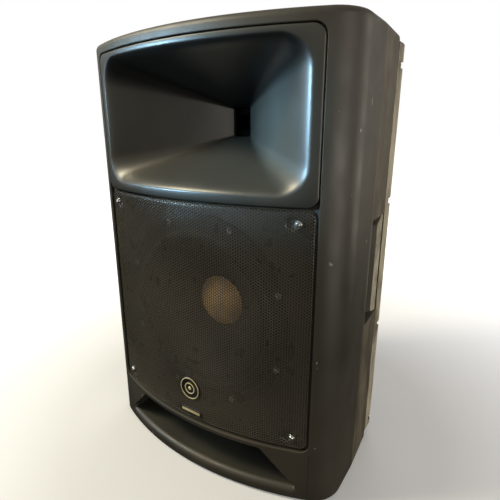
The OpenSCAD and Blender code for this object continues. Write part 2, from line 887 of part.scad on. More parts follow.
module driver_bolts() {
    color(steel_colour) ring_y(4, driver_ring_r, horn_z, 45)
        translate([0, driver_y + driver_gasket_t + driver_lug_t, 0])
            screw_y(3, 4.8, 5, driver_lug_t + driver_gasket_t + flange_t);
}

// ---------------------------------------------------------------- amplifier

// Outline of the amplifier panel with its holes for the controls
module amp_panel() {
    edge_x = bay_x - panel_gap;
    color(black_steel) difference() {
        block([-edge_x, plate_y, bay_z0 + panel_gap], [edge_x, face_y, bay_z1 - panel_gap]);
        for (spot = panel_screw_spots()) bar_y(1.8, plate_y - slack, face_y + slack, spot.x, spot.y);
        for (x = knob_spots) bar_y(bush_r, plate_y - slack, face_y + slack, x, knob_z);
        bar_y(button_r + 0.6, plate_y - slack, face_y + slack, button_x, knob_z);
        for (x = lamp_spots) bar_y(lamp_r, plate_y - slack, face_y + slack, x, lamp_z);
        for (x = xlr_spots) bar_y(xlr_r, plate_y - slack, face_y + slack, x, xlr_z);
        for (x = jack_spots) bar_y(6, plate_y - slack, face_y + slack, x, jack_z);
        block([inlet_x - 14, plate_y - slack, inlet_z - 10], [inlet_x + 14, face_y + slack, inlet_z + 10]);
        bar_y(6.5, plate_y - slack, face_y + slack, fuse_x, fuse_z);
        block([rocker_x - 10, plate_y - slack, rocker_z - 14],
            [rocker_x + 10, face_y + slack, rocker_z + 14]);
    }
}

module amp_gasket() {
    x = bay_x - panel_gap;
    color(rubber_colour) difference() {
        block([-x, ledge_y, bay_z0 + panel_gap], [x, plate_y, bay_z1 - panel_gap]);
        block([ledge - bay_x, ledge_y - slack, bay_z0 + ledge], [bay_x - ledge, back_y, bay_z1 - ledge]);
        for (spot = panel_screw_spots()) bar_y(1.8, ledge_y - slack, plate_y + slack, spot.x, spot.y);
    }
}

module amp_screws() {
    color(steel_colour) for (spot = panel_screw_spots())
        translate([spot.x, face_y, spot.y]) screw_y(1.5, 3.5, 2.2, 7);
}

module heat_sink() {
    base_t = 5;
    fins = 16;
    fin_t = 2.5;
    pitch = (2*sink_x - fin_t)/(fins - 1);
    color(black_steel) {
        block([-sink_x, face_y, sink_z0], [sink_x, face_y + base_t, sink_z1]);
        for (i = [0 : fins - 1]) translate([i*pitch - sink_x, 0, 0])
            block([0, face_y + base_t - 0.5, sink_z0], [fin_t, back_y - 1.5, sink_z1]);
    }
}

// Sheet steel box that seals the electronics off from the air in the cabinet
module amp_cover() {
    x = bay_x - ledge - 2;
    z0 = bay_z0 + ledge + 2;
    z1 = bay_z1 - ledge - 2;
    y0 = plate_y - cover_deep;
    color(steel_colour) difference() {
        block([-x, y0, z0], [x, plate_y, z1]);
        block([cover_t - x, y0 + cover_t, z0 + cover_t], [x - cover_t, plate_y + slack, z1 - cover_t]);
    }
}

module main_circuit_board() {
    half = 98;
    z0 = 300;
    z1 = 512;
    corner = 8;
    color(board_colour) block([-half, main_board_y, z0], [half, main_board_y + board_t, z1]);
    color(steel_colour) for (x = [corner - half, half - corner]) for (z = [z0 + corner, z1 - corner])
        bar_y(post_r, plate_y - cover_deep + cover_t, main_board_y, x, z);
}

module input_circuit_board() {
    y0 = plate_y - 28;
    half = 104;
    z0 = 226;
    z1 = 346;
    corner = 6;
    wire_hole_r = 10;
    color(board_colour) difference() {
        block([-half, y0, z0], [half, y0 + board_t, z1]);
        bar_y(wire_hole_r, y0 - slack, y0 + board_t + slack, 80, 270);
    }
    color(steel_colour) for (x = [corner - half, half - corner]) for (z = [z0 + corner, z1 - corner])
        bar_y(post_r, y0 + board_t, plate_y, x, z);
}

// Toroidal mains transformer on the cover's floor side
module power_transformer() {
    y0 = plate_y - cover_deep + cover_t;
    height = 30;
    color(copper_colour) tube_y(24, 8, y0, y0 + height, 70, 208);
}

// Four large and three small capacitors on the main board
module capacitors() {
    y0 = main_board_y + board_t;
    color(black_steel) {
        for (x = [-60, -20]) for (z = [384, 426]) bar_y(16, y0, y0 + 42, x, z);
        for (x = [30, 52, 74]) bar_y(8, y0, y0 + 26, x, 384);
    }
}

// ---------------------------------------------------------------- sockets and controls

// Two input sockets with latch slots, then one output plug with pins
module xlr_sockets() {
    color(black_steel) for (i = [0 : 2]) translate([xlr_spots[i], 0, xlr_z]) {
        difference() {
            union() {
                bar_y(xlr_r - 0.05, plate_y - 24, face_y);
                block([-13, face_y, -15.5], [13, face_y + 2, 15.5]);
            }
            bar_y(8.5, plate_y - 16, face_y + 3);
            if (i < 2) {
                block([-3.6, plate_y - 8, 6.8], [3.6, face_y + 3, 10.8]);
                for (a = [90, 210, 330]) rotate([0, a, 0]) bar_y(1.6, plate_y - 22, plate_y - 15, 4.5, 0);
            }
        }
        if (i == 2) for (a = [90, 210, 330]) rotate([0, a, 0])
            bar_y(1.2, plate_y - 17, plate_y - 3, 4.5, 0);
    }
}

// Spring tab that locks a plug in an XLR socket
module xlr_latch(x) {
    color(steel_colour) block([x - 3.2, plate_y - 4, xlr_z + 7.2], [x + 3.2, face_y + 4.5, xlr_z + 10.4]);
}

module xlr_latch_1() xlr_latch(xlr_spots[0]);
module xlr_latch_2() xlr_latch(xlr_spots[1]);

module jack_sockets() {
    color(black_steel) for (x = jack_spots) translate([x, 0, jack_z]) difference() {
        union() {
            bar_y(5.95, plate_y - 20, face_y + 3);
            tube_y(8, 5.95, face_y, face_y + 2);
        }
        bar_y(3.2, plate_y - 18, face_y + 4);
    }
}

module ac_inlet() {
    color(black_steel) translate([inlet_x, 0, inlet_z]) difference() {
        union() {
            block([-13.8, plate_y - 16, -9.8], [13.8, face_y, 9.8]);
            block([-24, face_y, -13], [24, face_y + 2.5, 13]);
        }
        block([-12, plate_y - 13, -7.5], [12, face_y + 3, 7.5]);
    }
    color(steel_colour) for (x = [-7, 0, 7])
        block([inlet_x + x - 1, plate_y - 14, inlet_z + (x == 0 ? 0 : -4)],
            [inlet_x + x + 1, plate_y, inlet_z + (x == 0 ? 4 : 0)]);
}

module fuse_holder() {
    color(black_steel) translate([fuse_x, 0, fuse_z]) {
        bar_y(6.45, plate_y - 22, face_y);
        bar_y(9, face_y, face_y + 3);
        difference() {
            bar_y(7, face_y + 3, face_y + 10);
            block([-1, face_y + 9, -8], [1, face_y + 11, 8]);
        }
    }
}

module potentiometers() {
    color(steel_colour) for (x = knob_spots) {
        tube_y(bush_r - 0.05, stem_r + 0.05, plate_y - 9, face_y + knob_gap - 0.4, x, knob_z);
        tube_y(8, stem_r + 0.05, plate_y - 9, plate_y, x, knob_z);
        bar_y(8, plate_y - 15, plate_y - 9, x, knob_z);
    }
}

// Control knob with a stem that turns in its potentiometer, and a pointer ridge
module knob(x) {
    y0 = face_y + knob_gap;
    color(trim_colour) {
        difference() {
            bar_y(knob_r, y0, y0 + knob_len, x, knob_z);
            translate([x, 0, knob_z]) for (a = [10 : 20 : 350]) rotate([0, a, 0])
                bar_y(0.7, y0 + 3, y0 + knob_len + slack, knob_r, 0);
        }
        bar_y(stem_r, plate_y - 8.5, y0 + slack, x, knob_z);
        block([x - 0.6, y0 + knob_len - slack, knob_z + 1],
            [x + 0.6, y0 + knob_len + 0.6, knob_z + knob_r - 1]);
    }
}

module level_knob_1() knob(knob_spots[0]);
module level_knob_2() knob(knob_spots[1]);
module low_knob() knob(knob_spots[2]);
module high_knob() knob(knob_spots[3]);

module rocker_frame() {
    color(black_steel) translate([rocker_x, 0, rocker_z]) difference() {
        union() {
            block([-9.8, plate_y - 18, -13.8], [9.8, face_y, 13.8]);
            block([-12.5, face_y, -16.5], [12.5, face_y + 2, 16.5]);
        }
        block([-8, plate_y - 12, -12], [8, face_y + 3, 12]);
    }
}

// Rocker that tips about a pin along X, drawn in its off position
module power_rocker() {
    color(trim_colour) translate([rocker_x, face_y - 3, rocker_z]) rotate([-rocker_tilt, 0, 0])
    difference() {
        rotate([0, 90, 0]) translate([0, 0, -7.6]) cylinder(r = 11, h = 15.2);
        block([-9, -12, -12], [9, -4, 12]);
        translate([0, 20, 0]) rotate([0, 90, 0]) translate([0, 0, -8]) cylinder(r = 14.5, h = 16);
    }
}

module low_cut_button() {
    color(trim_colour) {
        bar_y(button_r, plate_y - 12, face_y + button_travel + 2, button_x, knob_z);
        bar_y(2.5, plate_y - 20, plate_y - 12, button_x, knob_z);
    }
}

module status_lamps() {
    color(lamp_colour) for (x = lamp_spots) {
        bar_y(lamp_r - 0.05, plate_y - 6, face_y + 0.6, x, lamp_z);
        bar_y(lamp_r + 0.6, plate_y - 8, plate_y - 0.2, x, lamp_z);
    }
}

// One lead as straight runs joined by round elbows
module lead(points, r) {
    for (i = [0 : len(points) - 2]) {
        run = points[i + 1] - points[i];
        translate(points[i]) rotate([0, acos(run.z/norm(run)), atan2(run.y, run.x)])
            cylinder(r = r, h = norm(run));
    }
    for (i = [1 : len(points) - 2]) translate(points[i]) sphere(r = r, $fn = 32);
}

// Two leads from the amplifier to each driver
module speaker_leads() {
    cover_y = plate_y - cover_deep;
    tag_x = spider_r + 24;
    tag_y = spider_y + 4.5;
    cap_y = driver_y + driver_gasket_t + driver_len + driver_cap_len/2;
    cap_z = horn_z - driver_cap_r - 0.2;
    drop_z = horn_z - driver_r - 15;
    lead_r = 1.6;
    color(rubber_colour) {
        for (z = lead_z) lead([[tag_x, tag_y, woofer_z + z], [tag_x + 12, tag_y, woofer_z + z],
            [tag_x + 12, cover_y, woofer_z + z]], lead_r);
        for (x = [-6, 6]) lead([[x, cap_y, cap_z], [x, cap_y, drop_z], [x, cover_y, drop_z]], lead_r);
    }
}

// ---------------------------------------------------------------- nodes

front_shell();
rear_shell();
shell_seal();
shell_screws();
horn_panel();
horn_screws();
grille();
grille_screws();
badge_disc();
badge_emblem();
name_bar();
port_duct();
handle_cup_left();
handle_cup_right();
pole_socket();
pole_socket_screws();
rubber_feet();
rigging_inserts();
woofer_basket();
woofer_gasket();
woofer_surround();
woofer_cone();
woofer_dust_cap();
woofer_spider();
voice_coil();
woofer_top_plate();
woofer_magnet();
woofer_back_plate();
woofer_screws();
woofer_terminals();
driver_magnet();
driver_diaphragm();
driver_rear_cap();
driver_gasket();
driver_bolts();
amp_panel();
amp_gasket();
amp_screws();
heat_sink();
amp_cover();
main_circuit_board();
input_circuit_board();
power_transformer();
capacitors();
xlr_sockets();
xlr_latch_1();
xlr_latch_2();
jack_sockets();
ac_inlet();
fuse_holder();
potentiometers();
level_knob_1();
level_knob_2();
low_knob();
high_knob();
rocker_frame();
power_rocker();
low_cut_button();
status_lamps();
speaker_leads();
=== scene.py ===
# Powered two-way PA speaker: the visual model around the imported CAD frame.
# Lengths are in millimetres in the tables and helpers below, and become metres in mesh_object().
import json
import random
from math import atan2, cos, pi, radians, sin, sqrt, tan

import bmesh
import bpy
from mathutils import Matrix, Vector

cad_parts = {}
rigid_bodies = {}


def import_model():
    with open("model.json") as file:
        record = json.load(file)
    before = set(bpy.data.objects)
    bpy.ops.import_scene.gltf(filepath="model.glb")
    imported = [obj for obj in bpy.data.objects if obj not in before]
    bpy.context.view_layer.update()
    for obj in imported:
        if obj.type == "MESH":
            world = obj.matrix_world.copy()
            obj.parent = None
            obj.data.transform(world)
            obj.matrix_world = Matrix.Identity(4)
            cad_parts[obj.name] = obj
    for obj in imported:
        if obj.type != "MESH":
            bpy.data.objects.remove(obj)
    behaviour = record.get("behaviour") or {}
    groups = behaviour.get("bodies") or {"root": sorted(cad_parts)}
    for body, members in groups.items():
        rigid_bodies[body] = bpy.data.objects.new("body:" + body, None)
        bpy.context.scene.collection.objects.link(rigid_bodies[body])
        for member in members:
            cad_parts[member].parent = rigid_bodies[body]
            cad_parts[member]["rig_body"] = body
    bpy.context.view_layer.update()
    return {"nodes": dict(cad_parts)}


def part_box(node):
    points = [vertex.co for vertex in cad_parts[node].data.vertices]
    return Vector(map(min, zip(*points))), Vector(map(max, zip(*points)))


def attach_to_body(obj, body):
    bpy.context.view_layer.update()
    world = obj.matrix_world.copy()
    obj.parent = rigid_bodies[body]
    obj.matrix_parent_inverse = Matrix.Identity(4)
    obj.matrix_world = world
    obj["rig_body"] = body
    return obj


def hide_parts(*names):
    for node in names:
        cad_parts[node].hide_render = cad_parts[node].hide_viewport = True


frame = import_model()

MM = 0.001
NODES = frame["nodes"]


def cad_box(node):
    """Lowest and highest corner of a CAD node in millimetres."""
    low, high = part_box(node)
    return low / MM, high / MM


# ---------------------------------------------------------------- landmarks, in millimetres

FRONT_LOW, FRONT_HIGH = cad_box("front_shell")
REAR_LOW, REAR_HIGH = cad_box("rear_shell")
FRONT_Y = FRONT_LOW.y
BASE_Z, TOP_Z = FRONT_LOW.z, FRONT_HIGH.z
SIDE_X = FRONT_HIGH.x
SPLIT_Y = FRONT_HIGH.y  # where the two shells meet
REAR_Y = REAR_LOW.y
BACK_Y = REAR_HIGH.y
RIM_X = REAR_HIGH.x
# the bowed front and the rounded upright corners beside it
BOW_R = 514.0
BOW_CY = FRONT_Y + BOW_R
CORNER_R = 50.0
CORNER_X = SIDE_X - CORNER_R
CORNER_Y = BOW_CY - sqrt((BOW_R - CORNER_R) ** 2 - CORNER_X ** 2)
CORNER_TURN = atan2(CORNER_X, BOW_CY - CORNER_Y)
# the crease in the side, from which a band slants in to the split
CREASE_Y = FRONT_Y + 138
BAND_SLOPE = (SIDE_X - RIM_X) / (SPLIT_Y + 0.75 - CREASE_Y)
RIM_Y = SPLIT_Y + 29.75
BACK_X = 140.0
EDGE = 9.0
WALL = 5.0
PANEL_X = 190.0
BAFFLE_Y = cad_box("woofer_gasket")[1].y
BAFFLE_T = 12.0
HORN_Z = 549.0
WOOFER_Z = 265.0
RECESS_LOW, RECESS_HIGH = 88.0, 649.0


def band_x(y):
    """Half width of the slanting band between the side's crease and the split."""
    return SIDE_X - BAND_SLOPE * (y - CREASE_Y)


def skin_y(x, depth=0.0):
    """The cabinet's front surface at x, depth millimetres under the skin."""
    x = abs(x)
    if x <= (BOW_R - depth) * sin(CORNER_TURN):
        return BOW_CY - sqrt((BOW_R - depth) ** 2 - x ** 2)
    r = CORNER_R - depth
    return CORNER_Y - sqrt(max(r ** 2 - (x - CORNER_X) ** 2, 0.0))


# ---------------------------------------------------------------- camera and lights, in metres

# camera solved from the photograph's perspective
CAMERA_PLACE = (0.387, -0.6003, 0.5347)
CAMERA_DOWN, CAMERA_TURN = 16.08, 33.18
CAMERA_LENS, CAMERA_SENSOR = 29.59, 36
SKY = (1.0, 0.96, 0.90, 1)
MIDDLE = (0, 0, 0.33)
# name, place, what it looks at, width, height, watts, colour
AREA_LIGHTS = (
    ("cool_window", (-1.8, -1.1, 1.0), (0.1, -0.1, 0.5), 0.9, 1.1, 16, (0.56, 0.82, 1.0)),
    ("warm_overhead", (-1.2, -0.95, 1.8), (0, -0.1, 0.4), 0.55, 0.5, 46, (1.0, 0.88, 0.62)),
    ("front_right", (2.15, -1.0, 0.5), (0, 0, 0.25), 1.2, 1.2, 27, (1.0, 0.94, 0.82)),
    ("warm_right", (1.9, 1.6, 0.6), MIDDLE, 0.7, 1.6, 16, (1.0, 0.92, 0.78)),
    ("rear_fill", (-0.8, 2.6, 1.5), MIDDLE, 1.8, 1.4, 24, (1.0, 0.98, 0.95)),
)
BEAM_PLACE, BEAM_TARGET = (-1.4, -1.4, 0.80), (0.112, -0.108, 0.528)


def add_light(data, place, target, watts, colour):
    """Puts a light in the scene, aimed at target."""
    data.energy, data.color = watts, colour
    obj = bpy.data.objects.new(data.name, data)
    bpy.context.scene.collection.objects.link(obj)
    obj.location = place
    obj.rotation_euler = (Vector(target) - obj.location).to_track_quat("-Z", "Y").to_euler()


def map_range(tree, value, low, high, to_low, to_high):
    """value from low to high becomes to_low to to_high, and is held at both ends."""
    made = tree.nodes.new("ShaderNodeMapRange")
    for key, number in (("From Min", low), ("From Max", high), ("To Min", to_low), ("To Max", to_high)):
        made.inputs[key].default_value = number
    tree.links.new(value, made.inputs["Value"])
    return made.outputs["Result"]


camera = bpy.data.objects.new("camera", bpy.data.cameras.new("camera"))
bpy.context.scene.collection.objects.link(camera)
camera.location = CAMERA_PLACE
camera.rotation_euler = (radians(90 - CAMERA_DOWN), 0, radians(CAMERA_TURN))
camera.data.lens, camera.data.sensor_width = CAMERA_LENS, CAMERA_SENSOR
camera.data.clip_start = 0.01
bpy.context.scene.camera = camera
bpy.context.scene.view_settings.view_transform = "Standard"

# a soft sky that is darker towards the ground and looks plain white to the camera
world = bpy.data.worlds.new("studio")
bpy.context.scene.world = world
world.use_nodes = True
tree = world.node_tree
soft = tree.nodes["Background"]
soft.inputs["Color"].default_value = SKY
height = tree.nodes.new("ShaderNodeSeparateXYZ")
tree.links.new(tree.nodes.new("ShaderNodeTexCoord").outputs["Generated"], height.inputs["Vector"])
tree.links.new(map_range(tree, height.outputs["Z"], -0.18, 0.35, 0.04, 0.36), soft.inputs["Strength"])
white = tree.nodes.new("ShaderNodeBackground")
white.inputs["Color"].default_value = (1, 1, 1, 1)
seen = tree.nodes.new("ShaderNodeMixShader")
tree.links.new(tree.nodes.new("ShaderNodeLightPath").outputs["Is Camera Ray"], seen.inputs["Fac"])
tree.links.new(soft.outputs["Background"], seen.inputs[1])
tree.links.new(white.outputs["Background"], seen.inputs[2])
tree.links.new(seen.outputs["Shader"], tree.nodes["World Output"].inputs["Surface"])

for name, place, target, across, tall, watts, colour in AREA_LIGHTS:
    light = bpy.data.lights.new(name, "AREA")
    light.shape, light.size, light.size_y = "RECTANGLE", across, tall
    add_light(light, place, target, watts, colour)
beam = bpy.data.lights.new("cool_beam", "SPOT")
beam.spot_size, beam.spot_blend, beam.shadow_soft_size = radians(5.0), 0.45, 0.10
add_light(beam, BEAM_PLACE, BEAM_TARGET, 980, (0.40, 0.72, 1.0))


# ---------------------------------------------------------------- materials

def srgb(r, g, b):
    """A colour given in 8-bit sRGB, as linear RGBA."""
    def linear(c):
        c /= 255
        return c / 12.92 if c <= 0.04045 else ((c + 0.055) / 1.055) ** 2.4
    return (linear(r), linear(g), linear(b), 1)


class Finish:
    """A procedural material: one Principled shader, fed by noise in object space."""

    def __init__(self, name, colour, rough, metallic=0.0, specular=None):
        self.material = bpy.data.materials.new(name)
        self.material.use_nodes = True
        self.tree = self.material.node_tree
        self.shader = self.tree.nodes["Principled BSDF"]
        self.shader.inputs["Base Color"].default_value = colour
        self.shader.inputs["Roughness"].default_value = rough
        self.shader.inputs["Metallic"].default_value = metallic
        if specular is not None:
            self.shader.inputs["Specular IOR Level"].default_value = specular
        self.place = self.tree.nodes.new("ShaderNodeTexCoord").outputs["Object"]
        self.normal = None
        self.material.diffuse_color = colour

    def node(self, kind):
        return self.tree.nodes.new("ShaderNode" + kind)

    def link(self, a, b):
        self.tree.links.new(a, b)

    def noise(self, scale, detail=3.0, stretch=(1, 1, 1), rough=0.5):
        """Noise whose features are about 1/scale metres across."""
        place = self.place
        if stretch != (1, 1, 1):
            mapping = self.node("Mapping")
            mapping.inputs["Scale"].default_value = stretch
            self.link(place, mapping.inputs["Vector"])
            place = mapping.outputs["Vector"]
        made = self.node("TexNoise")
        made.inputs["Scale"].default_value = scale
        made.inputs["Detail"].default_value = detail
        made.inputs["Roughness"].default_value = rough
        self.link(place, made.inputs["Vector"])
        return made.outputs["Fac"]

    def spread(self, value, low, high, to_low, to_high):
        return map_range(self.tree, value, low, high, to_low, to_high)

    def mix(self, factor, a, b):
        """Colour a where factor is 0 and b where it is 1. Each is a colour or a socket."""
        made = self.node("Mix")
        made.data_type = "RGBA"
        self.link(factor, made.inputs[0])
        for socket, value in ((made.inputs[6], a), (made.inputs[7], b)):
            if isinstance(value, (tuple, list)):
                socket.default_value = value
            else:
                self.link(value, socket)
        return made.outputs[2]

    def colour(self, socket):
        self.link(socket, self.shader.inputs["Base Color"])

    def rough(self, socket):
        self.link(socket, self.shader.inputs["Roughness"])

    def bump(self, height, strength, distance):
        """Adds a bump of that height in metres on top of the ones before it."""
        made = self.node("Bump")
        made.inputs["Strength"].default_value = strength
        made.inputs["Distance"].default_value = distance
        self.link(height, made.inputs["Height"])
        if self.normal:
            self.link(self.normal, made.inputs["Normal"])
        self.normal = made.outputs["Normal"]
        self.link(self.normal, self.shader.inputs["Normal"])


def moulded_plastic(name, dark, light, rough=(0.42, 0.6), grain=0.22, dust=None, dust_level=0.64,
                    scuffs=True, down_face_shade=None):
    """Moulded plastic: pebbled grain and slow colour drift, with pale scuffs and a layer of dust where they
    are asked for. With a shade colour given, the faces that look down are painted in it, as painted shade,
    and upright faces get a little of it."""
    f = Finish(name, dark, rough[0])
    drift = f.spread(f.noise(5, 2), 0.35, 0.65, 0, 1)
    colour = f.mix(drift, dark, light)
    if dust:
        cloud = f.noise(38, 6, (1, 1, 0.35), 0.65)
        layer = f.spread(cloud, dust_level - 0.14, dust_level + 0.06, 0, 0.75)
        colour = f.mix(layer, colour, dust)
    if scuffs:
        marks = f.spread(f.noise(95, 2, (1, 1, 0.6)), 0.735, 0.77, 0, 0.55)
        colour = f.mix(marks, colour, srgb(176, 172, 160))
    # the faces that look down take the shade colour: painted shade
    if down_face_shade:
        way = f.node("SeparateXYZ")
        f.link(f.node("NewGeometry").outputs["Normal"], way.inputs[0])
        colour = f.mix(f.spread(way.outputs["Z"], -0.5, 0.1, 0, 1), down_face_shade, colour)
    f.colour(colour)
    f.rough(f.spread(f.noise(22, 5), 0.3, 0.7, *rough))
    f.bump(f.noise(1400, 2, rough=0.6), grain, 0.00022)
    return f.material


def brushed_metal(name, light, dark, rough=0.32, scale=500, stretch=(1, 1, 1), metallic=1.0):
    """Plated or bare metal with fine streaks and slightly uneven tarnish."""
    f = Finish(name, light, rough, metallic)
    tarnish = f.spread(f.noise(60, 5), 0.4, 0.7, 0, 1)
    f.colour(f.mix(tarnish, light, dark))
    f.rough(f.spread(f.noise(scale, 3, stretch), 0.3, 0.7, rough - 0.08, rough + 0.14))
    f.bump(f.noise(scale, 2, stretch), 0.08, 0.0002)
    return f.material


def painted_metal(name, dark, light, rough=0.5, grain=0.35, worn=0.5):
    """Powder-coated steel: a fine orange-peel and small rubbed spots. worn is how strongly they show."""
    f = Finish(name, dark, rough)
    rub = f.spread(f.noise(160, 3), 0.66, 0.74, 0, worn)
    drift = f.mix(f.spread(f.noise(7, 2), 0.35, 0.65, 0, 1), dark, light)
    f.colour(f.mix(rub, drift, srgb(120, 112, 98)))
    f.rough(f.spread(f.noise(40, 4), 0.3, 0.7, rough - 0.1, rough + 0.12))
    f.bump(f.noise(1900, 1), grain, 0.00012)
    return f.material


def dull(name, colour, rough=0.75, grain=0.2, scale=900):
    """Anything dull: rubber, paper, cloth, ferrite, printed card."""
    f = Finish(name, colour, rough)
    lighter = tuple(min(1, c * 1.7) for c in colour[:3]) + (1,)
    f.colour(f.mix(f.spread(f.noise(30, 4), 0.35, 0.7, 0, 1), colour, lighter))
    f.rough(f.spread(f.noise(90, 3), 0.3, 0.7, rough - 0.08, rough + 0.1))
    f.bump(f.noise(scale, 3), grain, 0.0003)
    return f.material


SHELL = moulded_plastic("shell_plastic", srgb(43, 41, 34), srgb(56, 51, 42), (0.42, 0.58))
# a lighter copy of the shell plastic with dust on top: painted light for the slanting band on each side
LIT_BAND = moulded_plastic("band_painted_light", srgb(54, 50, 40), srgb(68, 61, 48), (0.5, 0.65), 0.22,
                       srgb(104, 96, 80), 0.6)
REAR = moulded_plastic("rear_plastic", srgb(43, 41, 34), srgb(56, 51, 42), (0.42, 0.58))
# a much lighter plastic with dust on top: painted light for the lit rim strips and pocket floors
LIT_DUSTY = moulded_plastic("dusty_rim_painted_light", srgb(84, 78, 64), srgb(120, 112, 94), (0.6, 0.8), 0.3,
                      srgb(176, 168, 148), 0.52)
# the horn's ceiling and its other down-facing faces are painted dark: painted shade
HORN = moulded_plastic("horn_plastic", srgb(49, 47, 41), srgb(56, 54, 47), (0.33, 0.42), 0.05,
                       scuffs=False, down_face_shade=srgb(20, 19, 17))
# a darker copy of the plastic for the port tunnel: painted shade inside the port
PORT_SHADE = moulded_plastic("port_painted_shade", srgb(31, 30, 22), srgb(38, 36, 26), (0.6, 0.75), 0.2, scuffs=False)
DARK = moulded_plastic("inner_plastic", srgb(40, 38, 32), srgb(50, 47, 39), (0.5, 0.65), 0.2, scuffs=False)
TRIM = moulded_plastic("trim_plastic", srgb(26, 26, 25), srgb(34, 33, 31), (0.36, 0.5), 0.12, scuffs=False)
GRILLE = painted_metal("grille_paint", srgb(66, 62, 55), srgb(80, 75, 65), 0.34, worn=0.0)
PANEL = painted_metal("panel_paint", srgb(24, 24, 24), srgb(31, 31, 31), 0.5)
STEEL = brushed_metal("zinc_steel", srgb(208, 208, 204), srgb(150, 147, 140), 0.26)
BRASS = brushed_metal("brass", srgb(196, 164, 96), srgb(140, 108, 56), 0.3)
GOLD = brushed_metal("badge_gold", srgb(226, 214, 172), srgb(190, 172, 122), 0.36, metallic=0.4)
COPPER = brushed_metal("coil_copper", srgb(186, 110, 70), srgb(120, 66, 40), 0.35)
BLACK_STEEL = painted_metal("black_steel", srgb(20, 20, 20), srgb(28, 28, 28), 0.4, 0.15)
SINK = brushed_metal("sink_aluminium", srgb(36, 36, 37), srgb(24, 24, 25), 0.42, 700, (1, 1, 0.05))
FERRITE = dull("ferrite", srgb(52, 50, 50), 0.6, 0.1)
RUBBER = dull("rubber", srgb(22, 22, 22), 0.7, 0.15, 700)
PAPER = dull("cone_paper", srgb(24, 22, 19), 0.85, 0.5, 420)
CLOTH = dull("spider_cloth", srgb(150, 110, 60), 0.85, 0.5, 1200)
CARD = dull("circuit_board", srgb(24, 70, 42), 0.4, 0.05, 300)
SLEEVE = dull("capacitor_sleeve", srgb(30, 34, 48), 0.4, 0.05, 300)
WRAP = dull("transformer_wrap", srgb(176, 132, 66), 0.55, 0.3, 300)
LENS = dull("lamp_lens", srgb(72, 128, 70), 0.2, 0.02, 200)
MARKING = dull("panel_marking", srgb(206, 204, 196), 0.6, 0.05, 300)
CAP = dull("dust_cap_paper", srgb(168, 138, 98), 0.7, 0.4, 500)
# near black with hardly any shine: painted shade for the deep throat behind the horn, on the driver's magnet
# and gasket
THROAT_SHADE = Finish("driver_painted_shade", (0.0015, 0.0015, 0.0015, 1), 0.95, specular=0.05).material
FOIL = dull("diaphragm_metal", srgb(70, 70, 72), 0.6, 0.1, 300)
FELT = dull("badge_black", srgb(18, 18, 18), 0.4, 0.05, 500)

# ---------------------------------------------------------------- mesh helpers

def mesh_object(name, verts, faces, material, sharp=32):
    """An object from points in millimetres, with outward normals, shaded smooth up to the angle sharp."""
    mesh = bpy.data.meshes.new(name)
    mesh.from_pydata([(x * MM, y * MM, z * MM) for x, y, z in verts], [], faces)
    bm = bmesh.new()
    bm.from_mesh(mesh)
    bmesh.ops.recalc_face_normals(bm, faces=bm.faces)
    bm.to_mesh(mesh)
    bm.free()
    mesh.materials.append(material)
    obj = bpy.data.objects.new(name, mesh)
    bpy.context.scene.collection.objects.link(obj)
    shade(obj, sharp)
    return obj


def shade(obj, sharp=32):
    obj.data.shade_smooth()
    obj.data.set_sharp_from_angle(angle=radians(sharp))


def apply_modifiers(obj, sharp):
    bpy.context.view_layer.update()
    depsgraph = bpy.context.evaluated_depsgraph_get()
    mesh = bpy.data.meshes.new_from_object(obj.evaluated_get(depsgraph))
    obj.modifiers.clear()
    old, obj.data = obj.data, mesh
    mesh.name = obj.name
    bpy.data.meshes.remove(old)
    shade(obj, sharp)
    return obj


def carve(obj, *cutters, sharp=32):
    """Cuts the cutters out of obj, one by one, and removes them."""
    for cutter in cutters:
        step = obj.modifiers.new("cut", "BOOLEAN")
        step.operation, step.solver, step.object = "DIFFERENCE", "EXACT", cutter
    apply_modifiers(obj, sharp)
    for cutter in cutters:
        bpy.data.objects.remove(cutter)
    return obj


def attach(obj, *nodes, body=None, slot=None):
    """obj stands for those CAD nodes, riding on the first one's body. slot is not used."""
    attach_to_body(obj, body or NODES[nodes[0]]["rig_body"])
    if nodes:
        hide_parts(*nodes)
    return obj


def loft(rings, around=False):
    """Quads between rings of equal length, closed at both ends, or with around joined from last to first."""
    n = len(rings[0])
    verts = [p for ring in rings for p in ring]
    faces = []
    last = len(rings) if around else len(rings) - 1
    for k in range(last):
        a, b = k * n, (k + 1) % len(rings) * n
        for i in range(n):
            j = (i + 1) % n
            faces.append((a + i, b + i, b + j, a + j))
    if not around:
        faces.append(tuple(range(n)))
        faces.append(tuple(reversed(range((len(rings) - 1) * n, len(rings) * n))))
    return verts, faces


